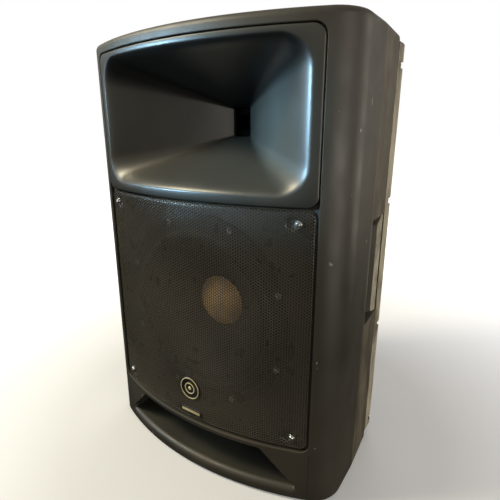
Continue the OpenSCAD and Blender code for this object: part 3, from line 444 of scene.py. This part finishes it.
def outline(corners, radii, grow=0.0, arc=6, side=10):
    """A convex outline with round corners. It always has as many points, so outlines can be lofted. grow
    moves its sides out: a number, or one for each side."""
    n = len(corners)
    grows = list(grow) if isinstance(grow, (list, tuple)) else [grow] * n
    lines = []
    for i in range(n):
        (x0, y0), (x1, y1) = corners[i], corners[(i + 1) % n]
        length = sqrt((x1 - x0) ** 2 + (y1 - y0) ** 2)
        nx, ny = (y1 - y0) / length, (x0 - x1) / length
        lines.append((nx, ny, nx * x0 + ny * y0 + grows[i]))
    spots = []
    for i in range(n):
        (a, b, c), (d, e, f) = lines[i - 1], lines[i]
        det = a * e - b * d
        spots.append(((c * e - b * f) / det, (a * f - c * d) / det))
    points = []
    for i in range(n):
        p = Vector(spots[i])
        before = (Vector(spots[i - 1]) - p).normalized()
        after = (Vector(spots[(i + 1) % n]) - p).normalized()
        half = before.angle(after) / 2
        r = max(radii[i] + (grows[i - 1] + grows[i]) / 2, 0.05)
        centre = p + (before + after).normalized() * (r / sin(half))
        start = p + before * (r / tan(half)) - centre
        turn = pi - 2 * half
        points.append([centre + Matrix.Rotation(turn * k / arc, 2) @ start for k in range(arc + 1)])
    result = []
    for i in range(n):
        result += points[i]
        a, b = points[i][-1], points[(i + 1) % n][0]
        result += [a.lerp(b, k / side) for k in range(1, side)]
    return [(p.x, p.y) for p in result]


def rectangle(x0, x1, z0, z1):
    return [(x0, z0), (x1, z0), (x1, z1), (x0, z1)]


def slab(low, high, rows, arc, side, around=False):
    """A loft of round-cornered rectangles on the XZ box from low to high. rows: (grow, corner radius, y)."""
    return loft([[(x, y, z) for x, z in outline(rectangle(low.x - g, high.x + g, low.z - g, high.z + g),
                                                [r] * 4, 0, arc, side)] for g, r, y in rows], around)


def lathe(profile, segments=64, place=(0, 0, 0)):
    """Rings for a loft round an axis along Y. profile holds (radius, y)."""
    x, y0, z = place
    return [[(x + r * cos(2 * pi * i / segments), y0 + y, z + r * sin(2 * pi * i / segments))
             for i in range(segments)] for r, y in profile]


def upright(profile, x, y, segments=48):
    """A solid round an upright axis. profile holds (radius, z)."""
    return loft([[(x + r * cos(2 * pi * i / segments), y + r * sin(2 * pi * i / segments), z)
                  for i in range(segments)] for r, z in profile])


def cylinder_y(r, y0, y1, x=0.0, z=0.0, segments=48):
    return loft(lathe([(r, y0), (r, y1)], segments, (x, 0, z)))


def combine(parts):
    """Several (verts, faces) as one."""
    verts, faces = [], []
    for v, f in parts:
        base = len(verts)
        verts += v
        faces += [tuple(i + base for i in face) for face in f]
    return verts, faces


def box_mesh(x0, x1, y0, y1, z0, z1):
    return loft([[(x0, y, z0), (x1, y, z0), (x1, y, z1), (x0, y, z1)] for y in (y0, y1)])


def moved(part, place, turn=0.0):
    """A part made round the Y axis, turned about it and moved to place."""
    verts, faces = part
    c, s = cos(turn), sin(turn)
    return [(x * c - z * s + place[0], y + place[1], x * s + z * c + place[2]) for x, y, z in verts], faces


# ---------------------------------------------------------------- cabinet, front half

def front_plan(inset, back, first_y=None):
    """Plan of the front half as a closed loop. With first_y, only what lies behind that."""
    bow, corner = 40, 14
    r = BOW_R - inset
    right = [(r * sin(CORNER_TURN * i / bow), BOW_CY - r * cos(CORNER_TURN * i / bow))
             for i in range(bow + 1)]
    r = CORNER_R - inset
    for i in range(1, corner + 1):
        a = CORNER_TURN + (pi / 2 - CORNER_TURN) * i / corner
        right.append((CORNER_X + r * sin(a), CORNER_Y - r * cos(a)))
    if first_y is not None:
        right = [(x, max(y, first_y)) for x, y in right]
    right += [(SIDE_X - inset, CREASE_Y), (band_x(back) - inset, back)]
    return [(-x, y) for x, y in reversed(right[1:])] + right


def edge_profile(z0, z1, r, low_r=None, steps=7):
    """(inset, z) of a wall whose top and bottom edges are rounded."""
    low_r = r if low_r is None else low_r
    turns = [pi / 2 * k / steps for k in range(steps + 1)]
    low = [(low_r - low_r * sin(a), z0 + low_r - low_r * cos(a)) for a in turns]
    return low + [(r - r * sin(a), z1 - r + r * cos(a)) for a in reversed(turns)]


def front_block(back, z0, z1, r, inset=0.0, first_y=None, low_r=None):
    rings = []
    for more, z in edge_profile(z0, z1, r, low_r):
        rings.append([(x, y, z) for x, y in front_plan(inset + more, back, first_y)])
    return loft(rings)


def lipped_cutter(corners, radii, lip, depth, back, steps=5):
    """A cutter whose opening is rounded over where it meets the front. lip is how far it widens at the skin,
    as one number or one for each side, and depth how far the rounding goes in."""
    lips = lip if isinstance(lip, list) else [lip] * len(corners)
    arc, side, lift = 8, 26, 12.0
    rings = []
    rows = [(0.97, None), (0.97, 0.0)]
    rows += [(1 - sin(pi / 2 * k / steps), 1 - cos(pi / 2 * k / steps)) for k in range(1, steps + 1)]
    for wide, deep in rows:
        shape = outline(corners, radii, [v * wide for v in lips], arc, side)
        rings.append([(x, FRONT_Y - lift if deep is None else skin_y(x) + depth * deep + 0.02, z)
                      for x, z in shape])
    shape = outline(corners, radii, 0, arc, side)
    rings.append([(x, back, z) for x, z in shape])
    return loft(rings)


SILL_Z = BASE_Z - 2.6  # the moulding's lower edge
FLANGE, FLANGE_D = 20.0, 6.0  # the flange at the split
PORT = [(-176, 22), (176, 22), (120, 80), (-120, 80)]
PORT_RADII = [3, 3, 9, 9]
RECESS = rectangle(-PANEL_X, PANEL_X, RECESS_LOW, RECESS_HIGH)
HORN_CUT = (170, 92)  # half width and half height of the opening behind the horn
WOOFER_CUT_R = 142
BAFFLE_CUT = (BAFFLE_Y - 1, BAFFLE_Y + BAFFLE_T + 1)
POLE_R, INSERT_R = 22, 6
INSERT_X, INSERT_Y, INSERT_DEPTH = 150, -20, 16
SEAM_X, SEAM_HALF = 191, 0.35


def cutter(part):
    return mesh_object("cut", *part, SHELL)


cabinet = mesh_object("cabinet_front", *front_block(SPLIT_Y, SILL_Z, TOP_Z, EDGE, low_r=5.0), SHELL)
cavity = cutter(front_block(SPLIT_Y - FLANGE_D, BASE_Z + WALL, TOP_Z - WALL, 5, WALL, BAFFLE_Y + BAFFLE_T))
window = cutter(box_mesh(FLANGE - RIM_X, RIM_X - FLANGE, SPLIT_Y - 2 * FLANGE_D, SPLIT_Y + 5,
                         BASE_Z + FLANGE, TOP_Z - FLANGE))
recess = cutter(lipped_cutter(RECESS, [14] * 4, 1.3, 1.3, BAFFLE_Y, steps=3))
behind = cutter(box_mesh(-HORN_CUT[0], HORN_CUT[0], *BAFFLE_CUT, HORN_Z - HORN_CUT[1], HORN_Z + HORN_CUT[1]))
cutout = cutter(cylinder_y(WOOFER_CUT_R, *BAFFLE_CUT, 0, WOOFER_Z, 96))
port = cutter(lipped_cutter(PORT, PORT_RADII, [8.5, 1.6, 1.6, 1.6], 8.5, FRONT_Y + 60))


def side_cutter(x_in, x_out, y0, y1, z0, z1, r, lip, sign):
    """A cutter through the side wall with a rounded lip. sign is 1 for the right side."""
    rings = []
    rows = [(0.97, x_out + 10)]
    rows += [(1 - sin(pi / 2 * k / 4), x_out - lip * (1 - cos(pi / 2 * k / 4))) for k in range(5)]
    rows.append((0.0, x_in))
    for wide, x in rows:
        shape = outline(rectangle(y0, y1, z0, z1), [r] * 4, lip * wide, 6, 4)
        rings.append([(sign * x, y, z) for y, z in shape])
    return loft(rings)


# each hand recess: from y, to y, from z, to z, and from where on its floor takes the lighter dusty plastic,
# painted light
CUP = (CREASE_Y + 8, SPLIT_Y - 0.4, 255.0, 415.0)
CUP_LIT_Y = CUP[0] + 57
cups = [cutter(side_cutter(SIDE_X - 14, SIDE_X - 0.6, CUP[0], SPLIT_Y + 12, CUP[2], CUP[3], 3, 1.6, sign))
        for sign in (1, -1)]
POLE_Y = (cad_box("pole_socket")[0].y + cad_box("pole_socket")[1].y) / 2
sockets = [upright([(POLE_R, SILL_Z - 2), (POLE_R, BASE_Z + WALL + 1)], 0, POLE_Y)]
sockets += [upright([(INSERT_R, TOP_Z - INSERT_DEPTH), (INSERT_R, TOP_Z + 2)], x, INSERT_Y, 32)
            for x in (-INSERT_X, INSERT_X)]
holes = cutter(combine(sockets))
seams = cutter(combine([box_mesh(x - SEAM_HALF, x + SEAM_HALF, -150, -145.9, 2, 86)
                        for x in (-SEAM_X, SEAM_X)]))
carve(cabinet, cavity, window, recess, behind, cutout, port, *cups, holes, seams, sharp=28)
# the slanting band takes a lighter plastic with dust on top, painted light where light grazes it, and its
# crease stays sharp
cabinet.data.materials.append(LIT_BAND)
for face in cabinet.data.polygons:
    place = face.center / MM
    if abs(face.normal.x) > 0.99 and CREASE_Y < place.y < SPLIT_Y and abs(place.x) > RIM_X - 1:
        face.material_index = 1
points = [vertex.co / MM for vertex in cabinet.data.vertices]
for edge in cabinet.data.edges:
    if all(abs(points[i].y - CREASE_Y) < 0.1 and abs(points[i].x) > SIDE_X - 1 for i in edge.vertices):
        edge.use_edge_sharp = True
attach(cabinet, "front_shell")


# ---------------------------------------------------------------- cabinet, rear half

def rear_plan(inset, front):
    taper = atan2(RIM_X - BACK_X, BACK_Y - RIM_Y)
    side = RIM_X - inset
    knee = RIM_Y - inset * tan(taper / 2)
    corner = BACK_X - inset * tan((pi / 2 - taper) / 2)
    knee_r, corner_r = 4, 10.0
    return outline([(-side, front), (side, front), (side, knee), (corner, BACK_Y - inset),
                    (-corner, BACK_Y - inset), (-side, knee)],
                   [0.05, 0.05, knee_r, corner_r, corner_r, knee_r], 0, 5, 6)


def rear_block(front, z0, z1, r, inset=0.0):
    return loft([[(x, y, z) for x, y in rear_plan(inset + more, front)]
                 for more, z in edge_profile(z0, z1, r)])


STEP = 8.0  # how far the rear half stays inside the front half at top and bottom
SCREW_X = RIM_X - 5
SCREW_Z = (30, 219, 431, 626)
NOTCH_R = 6.5
HEAD_Y = cad_box("shell_screws")[1].y - 3
AMP_LOW, AMP_HIGH = cad_box("amp_panel")
LEDGE = 11  # width of the ledge that the amplifier panel is screwed to

rear = mesh_object("cabinet_rear", *rear_block(REAR_Y, BASE_Z + STEP, TOP_Z - STEP, 5), REAR)
inner = cutter(rear_block(REAR_Y - 5, BASE_Z + STEP + WALL, TOP_Z - STEP - WALL, 3, WALL))
notches = cutter(combine([cylinder_y(NOTCH_R, HEAD_Y, BACK_Y, side * SCREW_X, z, 24)
                          for side in (-1, 1) for z in SCREW_Z]))
bay = cutter(slab(AMP_LOW, AMP_HIGH, [(1, 3, 150), (1, 3, BACK_Y - 2), (1.6, 3.6, BACK_Y - 0.7),
                                      (3.0, 5.0, BACK_Y - 0.02), (3.0, 5.0, 190)], 5, 2))
carve(rear, inner, bay, notches, sharp=28)
# the rim strip on each side takes the lighter dusty plastic: dust and painted light
rear.data.materials.append(LIT_DUSTY)
for face in rear.data.polygons:
    place = face.center / MM
    if abs(place.x) > RIM_X - 0.2 and abs(face.normal.x) > 0.9 and place.y < RIM_Y:
        face.material_index = 1
frame_ring = mesh_object("amp_bay_frame", *slab(AMP_LOW, AMP_HIGH, [(g, 3, y) for g, y in (
    (5, AMP_LOW.y - 6), (5, BACK_Y - 3), (1, BACK_Y - 3), (1, AMP_LOW.y - 1.5),
    (-LEDGE, AMP_LOW.y - 1.5), (-LEDGE, AMP_LOW.y - 6))], 4, 2, True), REAR)
attach(rear, "rear_shell")
attach(frame_ring, "rear_shell")

# ---------------------------------------------------------------- horn

# half width and half height of the horn's mouth and throat
MOUTH = (172.0, 87.0)
THROAT = (16.0, 22.0)
THROAT_Y = cad_box("driver_gasket")[0].y - 6
SKIRT = (188.5, 444.75, 647.5)  # half width, lower and upper edge of the horn's panel
LIP_FROM = 0.88  # share of the flare at which its rounded lip starts
HORN_T = 3.5


def horn_rings():
    """Closed section of the moulding, from its skirt over the face and down the flare, and back outside."""
    x, z0, z1 = SKIRT
    mid, half = (z0 + z1) / 2, (z1 - z0) / 2
    arc, side = 12, 26

    def ring(hx, hz, r, y_of, centre=HORN_Z):
        shape = outline(rectangle(-hx, hx, centre - hz, centre + hz), [r] * 4, 0, arc, side)
        return [(px, y_of(px), pz) for px, pz in shape]

    def wall(t, extra=0.0):
        """The flare at share t of the way from the throat to the mouth."""
        hx = THROAT[0] + (MOUTH[0] - THROAT[0]) * (0.82 * t + 0.18 * t * t) + extra
        hz = THROAT[1] + (MOUTH[1] - THROAT[1]) * (0.92 * t + 0.08 * t * t) + extra
        reach = MOUTH[0] / hx
        return ring(hx, hz, 3 + 31.0 * t ** 1.2 + extra, lambda px: t * skin_y(px * reach) + (1 - t) * THROAT_Y)

    rings = [ring(x, half, 14, lambda px: BAFFLE_Y, mid)]
    for inset, deep in ((0, 1.6), (0.15, 0.8), (0.5, 0.3), (1.3, 0.0)):
        rings.append(ring(x - inset, half - inset, 14 - inset, lambda px, d=deep: skin_y(px) + d, mid))
    outer = ring(MOUTH[0] + 7, MOUTH[1] + 6, 40, skin_y)
    edge, inner = wall(1.0), wall(LIP_FROM)
    lip_steps, flare_steps = 12, 24
    for k in range(lip_steps + 1):
        b = k / lip_steps
        weights = (1 - b) ** 2, 2 * b * (1 - b), b * b
        rings.append([tuple(sum(w * v for w, v in zip(weights, axis)) for axis in zip(p, q, r))
                      for p, q, r in zip(outer, edge, inner)])
    ts = [LIP_FROM * (1 - k / flare_steps) for k in range(1, flare_steps + 1)]
    rings += [wall(t) for t in ts]
    rings.append(ring(THROAT[0], THROAT[1], 3, lambda px: THROAT_Y + 6))
    rings.append(ring(52, 52, 6, lambda px: THROAT_Y + 6))
    rings.append(ring(52, 52, 6, lambda px: THROAT_Y))
    rings += [wall(t, HORN_T) for t in reversed(ts)]
    rings.append(ring(MOUTH[0] + 1, MOUTH[1] + 1, 34, lambda px: skin_y(px) + 9))
    rings.append(ring(MOUTH[0] + 6, MOUTH[1] + 5, 36, lambda px: skin_y(px) + 5))
    rings.append(ring(x - 3, half - 3, 11, lambda px: skin_y(px) + 4, mid))
    rings.append(ring(x - 3, half - 3, 11, lambda px: BAFFLE_Y, mid))
    return rings


horn = mesh_object("horn_moulding", *loft(horn_rings(), around=True), HORN, 40)
attach(horn, "horn_panel")

# ---------------------------------------------------------------- grille

GRILLE_LOW, GRILLE_HIGH = cad_box("grille")
SHEET_R = BOW_R - 2.5
SHEET_T = 0.8
PITCH = 4.25  # from hole to hole
HOLE = 0.80  # a hole's size as a share of its cell's
FOLD_R = 5.5
FOLD_HOLED = 6.4  # how far round the fold the holes go
GAP = 0.8  # clearance all round the sheet
SHEET_X = SHEET_R * atan2(GRILLE_HIGH.x, sqrt(SHEET_R ** 2 - GRILLE_HIGH.x ** 2)) - GAP
SHEET_Z = (GRILLE_LOW.z + GAP, GRILLE_HIGH.z - GAP)
SHEET_CORNER = 12.0
SCREW_SPOTS = [(x, z) for x in (-165.5, 165.5) for z in (109, 424)]
SCREW_PATCH = 4.2  # half width of the part round a screw that has no holes
DIMPLE_R, DIMPLE_D, DIMPLE_FLAT = 11.0, 3.2, 3
CELL_LEAST, HOLED_LEAST = 0.3, 7  # areas below which a cell is left out, or has no hole


def past_fold(u, z):
    """Nearest point of the sheet's flat middle to (u, z), the way out from it, and how far."""
    r = SHEET_CORNER - FOLD_R
    cu, mid = SHEET_X - SHEET_CORNER, (SHEET_Z[0] + SHEET_Z[1]) / 2
    cz = (SHEET_Z[1] - SHEET_Z[0]) / 2 - SHEET_CORNER
    nu, nz = max(-cu, min(cu, u)), max(-cz, min(cz, z - mid)) + mid
    far = sqrt((u - nu) ** 2 + (z - nz) ** 2)
    if far <= r:
        return u, z, 0.0, 0.0, 0.0
    du, dz = (u - nu) / far, (z - nz) / far
    return nu + du * r, nz + dz * r, du, dz, far - r


def held(u, z):
    """(u, z), or the nearest point that still has holes."""
    nu, nz, du, dz, far = past_fold(u, z)
    far = min(far, FOLD_HOLED)
    return nu + du * far, nz + dz * far


def on_sheet(u, z, depth=0.0):
    """The place of a point of the sheet's flat pattern, depth under its face, once the sheet is bowed,
    dished at the screws and folded back."""
    nu, nz, du, dz, far = past_fold(u, z)
    a = far / FOLD_R
    r = FOLD_R - depth
    u, z = nu + du * r * sin(a), nz + dz * r * sin(a)
    under = FOLD_R - r * cos(a)
    for x, spot_z in SCREW_SPOTS:
        away = sqrt((SHEET_R * atan2(x, SHEET_R) - u) ** 2 + (spot_z - z) ** 2)
        if away < DIMPLE_R:
            share = max(0.0, away - DIMPLE_FLAT) / (DIMPLE_R - DIMPLE_FLAT)
            under += DIMPLE_D * (0.5 + 0.5 * cos(pi * share))
    turn = u / SHEET_R
    return (SHEET_R - under) * sin(turn), BOW_CY - (SHEET_R - under) * cos(turn), z


def perforated_sheet(side):
    """Half of the sheet, with staggered six-sided holes in upright columns. side is -1 or 1."""
    column = PITCH * sqrt(3) / 2
    cell_r = PITCH / sqrt(3)
    keys, verts, faces, rims = {}, [], [], {}

    def vertex(u, z):
        """Index of the point's vertex on the face; the one behind it is next."""
        key = (round(u, 2), round(z, 2))
        if key not in keys:
            keys[key] = len(verts)
            verts.append(on_sheet(u, z))
            verts.append(on_sheet(u, z, SHEET_T))
        return keys[key]

    def both(ids):
        ids = list(dict.fromkeys(ids))
        if len(ids) > 2:
            faces.append(tuple(ids))
            faces.append(tuple(i + 1 for i in reversed(ids)))

    columns = int(SHEET_X / column) + 2
    rows = int((SHEET_Z[1] - SHEET_Z[0]) / PITCH) + 3
    for i in range(-columns, columns + 1):
        if (i < 0) != (side < 0):
            continue
        for j in range(rows):
            u, z = i * column, SHEET_Z[0] + (j - 1 + (0.5 if i % 2 else 0.0)) * PITCH
            if past_fold(u, z)[4] > FOLD_HOLED + cell_r * 0.5:
                continue
            rim = [held(u + cell_r * cos(pi / 3 * k), z + cell_r * sin(pi / 3 * k)) for k in range(6)]
            area = sum(rim[k - 1][0] * rim[k][1] - rim[k][0] * rim[k - 1][1] for k in range(6)) / 2
            if area < CELL_LEAST:
                continue
            ids = [vertex(*p) for p in rim]
            for a, b in zip(ids, ids[1:] + ids[:1]):
                if a != b:
                    edge = min(a, b), max(a, b)
                    rims[edge] = rims.get(edge, 0) + 1
            screwed = any(abs(u - x) < SCREW_PATCH and abs(z - spot_z) < SCREW_PATCH
                          for x, spot_z in SCREW_SPOTS)
            if area < HOLED_LEAST or screwed:
                both(ids)
                continue
            mu, mz = sum(p[0] for p in rim) / 6, sum(p[1] for p in rim) / 6
            hole = [vertex(mu + (a - mu) * HOLE, mz + (b - mz) * HOLE) for a, b in rim]
            for k in range(6):
                both([ids[k - 1], ids[k], hole[k], hole[k - 1]])
                faces.append((hole[k - 1], hole[k], hole[k] + 1, hole[k - 1] + 1))
    for (a, b), count in rims.items():
        if count == 1:
            faces.append((a, b, b + 1, a + 1))
    return verts, faces


for side, name in ((-1, "left"), (1, "right")):
    attach(mesh_object("grille_sheet_" + name, *perforated_sheet(side), GRILLE, 35), "grille")


def grille_edge():
    """The plain end of the fold, which runs round the sheet and back towards the baffle."""
    x, z0, z1 = SHEET_X, SHEET_Z[0], SHEET_Z[1]
    flat = FOLD_R * pi / 2
    face, inside, tail = -0.06, 0.9, 1.5
    start = FOLD_HOLED - 0.5
    steps = [start + (flat - start) * k / 4 for k in range(5)]
    shape = outline(rectangle(-x, x, z0, z1), [SHEET_CORNER] * 4, -FOLD_R, 10, 60)
    grown = outline(rectangle(-x, x, z0, z1), [SHEET_CORNER] * 4, 0, 10, 60)
    ways = [((b[0] - a[0]) / FOLD_R, (b[1] - a[1]) / FOLD_R) for a, b in zip(shape, grown)]

    def row(far, depth, back=0.0):
        r = FOLD_R - depth
        a = min(far / FOLD_R, pi / 2)
        points = []
        for (u, z), (du, dz) in zip(shape, ways):
            turn = (u + du * r * sin(a)) / SHEET_R
            deep = SHEET_R - (FOLD_R - r * cos(a)) - back
            points.append((deep * sin(turn), BOW_CY - deep * cos(turn), z + dz * r * sin(a)))
        return points

    rings = [row(far, face) for far in steps] + [row(flat, face, tail), row(flat, inside, tail)]
    return loft(rings + [row(far, inside) for far in reversed(steps)], around=True)


attach(mesh_object("grille_fold", *grille_edge(), GRILLE, 40), "grille")

# ---------------------------------------------------------------- port

def port_tunnel():
    """The tunnel behind the mouth, which narrows a little and rounds off into the duct. It stands a little
    inside the cabinet's own cut, because faces in one plane render black."""
    start = 9.0  # how far behind the skin it begins
    rows = [(2.5, None), (-0.7, None), (-0.8, -139.0), (-2.0, -100), (-3.0, -40), (0.0, -39), (2.5, -39.0)]
    rings = []
    for grow, y in rows:
        shape = outline(PORT, PORT_RADII, grow, 8, 26)
        rings.append([(px, skin_y(px) + start if y is None else y, pz) for px, pz in shape])
    return loft(rings, around=True)


tunnel = mesh_object("port_tunnel", *port_tunnel(), PORT_SHADE, 40)
attach(tunnel, "port_duct")

# ---------------------------------------------------------------- screws

def cross_head(r, height, shank, length):
    """A pan head with a cross recess, facing -Y, with its seat at y = 0."""
    profile = [(0.01, -height), (r * 0.45, -height * 0.98), (r * 0.78, -height * 0.8),
               (r * 0.95, -height * 0.45), (r, -height * 0.12), (r, 0), (shank, 0), (shank, length),
               (0.01, length)]
    head = mesh_object("head", *loft(lathe(profile, 28)), STEEL)
    narrow, reach, deep = r * 0.11, r * 0.56, height * 0.62
    for a, b in ((narrow, reach), (reach, narrow)):
        arm = loft([[(-a * s, y, -b * s), (a * s, y, -b * s), (a * s, y, b * s), (-a * s, y, b * s)]
                    for s, y in ((1.1, -height - 1), (1.0, -height), (0.55, -height + deep))])
        carve(head, mesh_object("cut", *arm, STEEL))
    verts = [tuple(c / MM for c in v.co) for v in head.data.vertices]
    faces = [tuple(f.vertices) for f in head.data.polygons]
    bpy.data.objects.remove(head)
    return verts, faces


def washer(r_out, r_in, y0, y1):
    b = min(0.3, (y1 - y0) / 3)
    return loft(lathe([(r_in, y0 + b), (r_in + b, y0), (r_out - b, y0), (r_out, y0 + b), (r_out, y1),
                       (r_in, y1)], 32), around=True)


rng = random.Random(7)
PAN = cross_head(3.6, 2.2, 1.8, 12)
parts = []
for x, z in SCREW_SPOTS:
    seat = on_sheet(SHEET_R * atan2(x, SHEET_R), z)[1]
    parts.append(moved(PAN, (x, seat - 0.7, z), rng.uniform(0, pi / 2)))
    parts.append(moved(washer(5.2, 2.0, -0.7, 0.8), (x, seat, z)))
screws = mesh_object("grille_screw_heads", *combine(parts), STEEL, 30)
attach(screws, "grille_screws")

# ---------------------------------------------------------------- badge and bar

B_LOW, B_HIGH = cad_box("badge_disc")
BADGE_Z = (B_LOW.z + B_HIGH.z) / 2
BADGE_ROUND = 72
disc = mesh_object("badge_plate", *loft(lathe([
    (0.01, -1.6), (17.2, -1.6), (17.9, -2.0), (19.0, -2.0), (19.5, -1.5), (19.5, 0), (0.01, 0)],
    BADGE_ROUND, (0, B_HIGH.y, BADGE_Z))), FELT, 30)
attach(disc, "badge_disc")
EMBLEM_Y = B_HIGH.y - 1.6


def round_ring(r, half, height):
    rows = [(r - half, 0), (r - half, -height * 0.6), (r - half * 0.5, -height), (r + half * 0.5, -height),
            (r + half, -height * 0.6), (r + half, 0)]
    return loft(lathe(rows, BADGE_ROUND, (0, EMBLEM_Y, BADGE_Z)), around=True)


dot = loft(lathe([(0.01, -0.9), (1.8, -0.85), (2.7, -0.5), (3.0, 0), (0.01, 0.2)], 32,
                 (0, EMBLEM_Y, BADGE_Z)))
emblem = mesh_object("badge_rings", *combine([round_ring(r, 0.9, 0.8) for r in (17.6, 8.8)] + [dot]), GOLD, 40)
attach(emblem, "badge_emblem")

N_LOW, N_HIGH = cad_box("name_bar")
bar_rows = [(1.2, 0), (0, 0), (0, -1.1), (0.4, -1.5), (2.0, -1.5)]
bar = mesh_object("plain_bar", *slab(N_LOW, N_HIGH, [(-i, max(2.0 - i, 0.3), N_HIGH.y + y)
                                                     for i, y in bar_rows], 5, 3), FELT, 30)
attach(bar, "name_bar")
rim = Vector((4, 0, 2.6))
line = mesh_object("bar_inlay", *slab(N_LOW + rim, N_HIGH - rim, [(0, 0.6, N_HIGH.y - 1.3),
                                                                  (0, 0.6, N_HIGH.y - 1.62)], 4, 3), GOLD, 30)
attach(line, "name_bar", slot="badge_gold")

# ---------------------------------------------------------------- handle cups

def handle_cup(sign):
    """A pocket, deepest at its front wall. Its floor rises to the split and its upper end is a ramp."""
    y0, y1, z0, z1 = CUP[0] - 0.3, CUP[1], CUP[2] - 0.3, CUP[3] + 0.3
    deep, sunk, wall, ramp = 36.0, 1.3, 2.2, 20.0
    across = 18

    def section(z, share):
        face, back = [(y0, 0.0)], [(y0 - wall, 0.0)]
        for k in range(across + 1):
            t = k / across
            depth = share * deep * (1 - t) ** 1.15
            face.append((y0 + 0.5 + (y1 - y0 - 0.5) * t, depth))
            back.append((y0 - wall + (y1 - y0 + wall) * t, depth + wall))
        return [(sign * (band_x(y) - sunk - d), y, z) for y, d in face + back[::-1]]

    heights = [(z0, 0.0), (z0 + 0.6, 1.0)]
    heights += [(z0 + 0.6 + (z1 - ramp - z0 - 0.6) * k / 12, 1.0) for k in range(1, 13)]
    heights += [(z1 - ramp + ramp * k / 8, 0.5 + 0.5 * cos(pi * k / 8)) for k in range(1, 9)]
    return loft([section(z, share) for z, share in heights])


for sign, side in ((1, "right"), (-1, "left")):
    pocket = mesh_object("handle_pocket_" + side, *handle_cup(sign), DARK, 40)
    # further back the pocket floor takes the lighter dusty plastic, painted light; its deep front part keeps
    # the darker inner plastic, as painted shade
    pocket.data.materials.append(LIT_DUSTY)
    for face in pocket.data.polygons:
        if sign * face.normal.x > 0.1 and face.center.y > CUP_LIT_Y * MM:
            face.material_index = 1
    attach(pocket, "handle_cup_" + side)

# ---------------------------------------------------------------- feet

foot_rows = [(0.01, 0.0), (9.5, 0.0), (11.3, 0.4), (12.2, 1.3), (13.6, BASE_Z - 0.6), (14.0, BASE_Z),
             (0.01, BASE_Z)]
FOOT_SPOTS = ((-150, -121), (150, -121), (-100, 133), (100, 133))
feet = mesh_object("feet", *combine([upright(foot_rows, x, y, 40) for x, y in FOOT_SPOTS]), RUBBER, 40)
attach(feet, "rubber_feet")

# ---------------------------------------------------------------- finishes of the CAD nodes that stay

PANEL_BACK = cad_box("amp_panel")[1].y
TICKS, TICK_FROM, TICK_STEP = 11, -150, 30  # degrees, the range that a knob turns through
ticks = []
for knob in ("level_knob_1", "level_knob_2", "low_knob", "high_knob"):
    low, high = cad_box(knob)
    x, z, r = (low.x + high.x) / 2, (low.z + high.z) / 2, (high.z - low.z) / 2
    for k in range(TICKS):
        length = 4.2 if k % 5 == 0 else 3.2  # longer at both ends and in the middle
        tick = box_mesh(-0.3, 0.3, -0.2, 0.08, r + 1.6, r + length)
        ticks.append(moved(tick, (x, PANEL_BACK, z), -radians(TICK_FROM + TICK_STEP * k)))
attach(mesh_object("dial_marks", *combine(ticks), MARKING, 30), body="cabinet", slot="panel_paint")

FINISH = {
    "shell_seal": RUBBER, "shell_screws": STEEL, "horn_screws": STEEL, "pole_socket": TRIM,
    "pole_socket_screws": STEEL, "rigging_inserts": BRASS, "woofer_basket": BLACK_STEEL,
    "woofer_gasket": RUBBER, "woofer_surround": RUBBER, "woofer_cone": PAPER, "woofer_dust_cap": CAP,
    "woofer_spider": CLOTH, "voice_coil": COPPER, "woofer_top_plate": STEEL, "woofer_magnet": FERRITE,
    "woofer_back_plate": STEEL, "woofer_screws": STEEL, "woofer_terminals": BRASS,
    "driver_magnet": THROAT_SHADE, "driver_diaphragm": FOIL, "driver_rear_cap": TRIM,
    "driver_gasket": THROAT_SHADE, "driver_bolts": STEEL, "amp_panel": PANEL, "amp_gasket": RUBBER,
    "amp_screws": STEEL, "heat_sink": SINK, "amp_cover": STEEL, "main_circuit_board": CARD,
    "input_circuit_board": CARD, "power_transformer": WRAP, "capacitors": SLEEVE, "xlr_sockets": TRIM,
    "xlr_latch_1": STEEL, "xlr_latch_2": STEEL, "jack_sockets": TRIM, "ac_inlet": TRIM,
    "fuse_holder": TRIM, "potentiometers": STEEL, "level_knob_1": TRIM, "level_knob_2": TRIM,
    "low_knob": TRIM, "high_knob": TRIM, "rocker_frame": TRIM, "power_rocker": TRIM,
    "low_cut_button": TRIM, "status_lamps": LENS, "speaker_leads": RUBBER,
}
for node, material in FINISH.items():
    data = NODES[node].data
    data.materials.clear()
    data.materials.append(material)

# ---------------------------------------------------------------- floor

# pale near the object, so that a soft shadow shows, and lit up to white further out
pale = Finish("floor", (0.54, 0.54, 0.54, 1), 0.9)
pale.shader.inputs["Emission Color"].default_value = (1, 1, 1, 1)
away = pale.node("VectorMath")
away.operation = "LENGTH"
pale.link(pale.place, away.inputs[0])
pale.link(pale.spread(away.outputs["Value"], 0.35, 1.3, 0.14, 0.95), pale.shader.inputs["Emission Strength"])
FAR = 40000
floor = mesh_object("floor", [(x, y, 0) for x, y in rectangle(-FAR, FAR, -FAR, FAR)], [(0, 1, 2, 3)],
                    pale.material)
floor.visible_diffuse = floor.visible_glossy = False
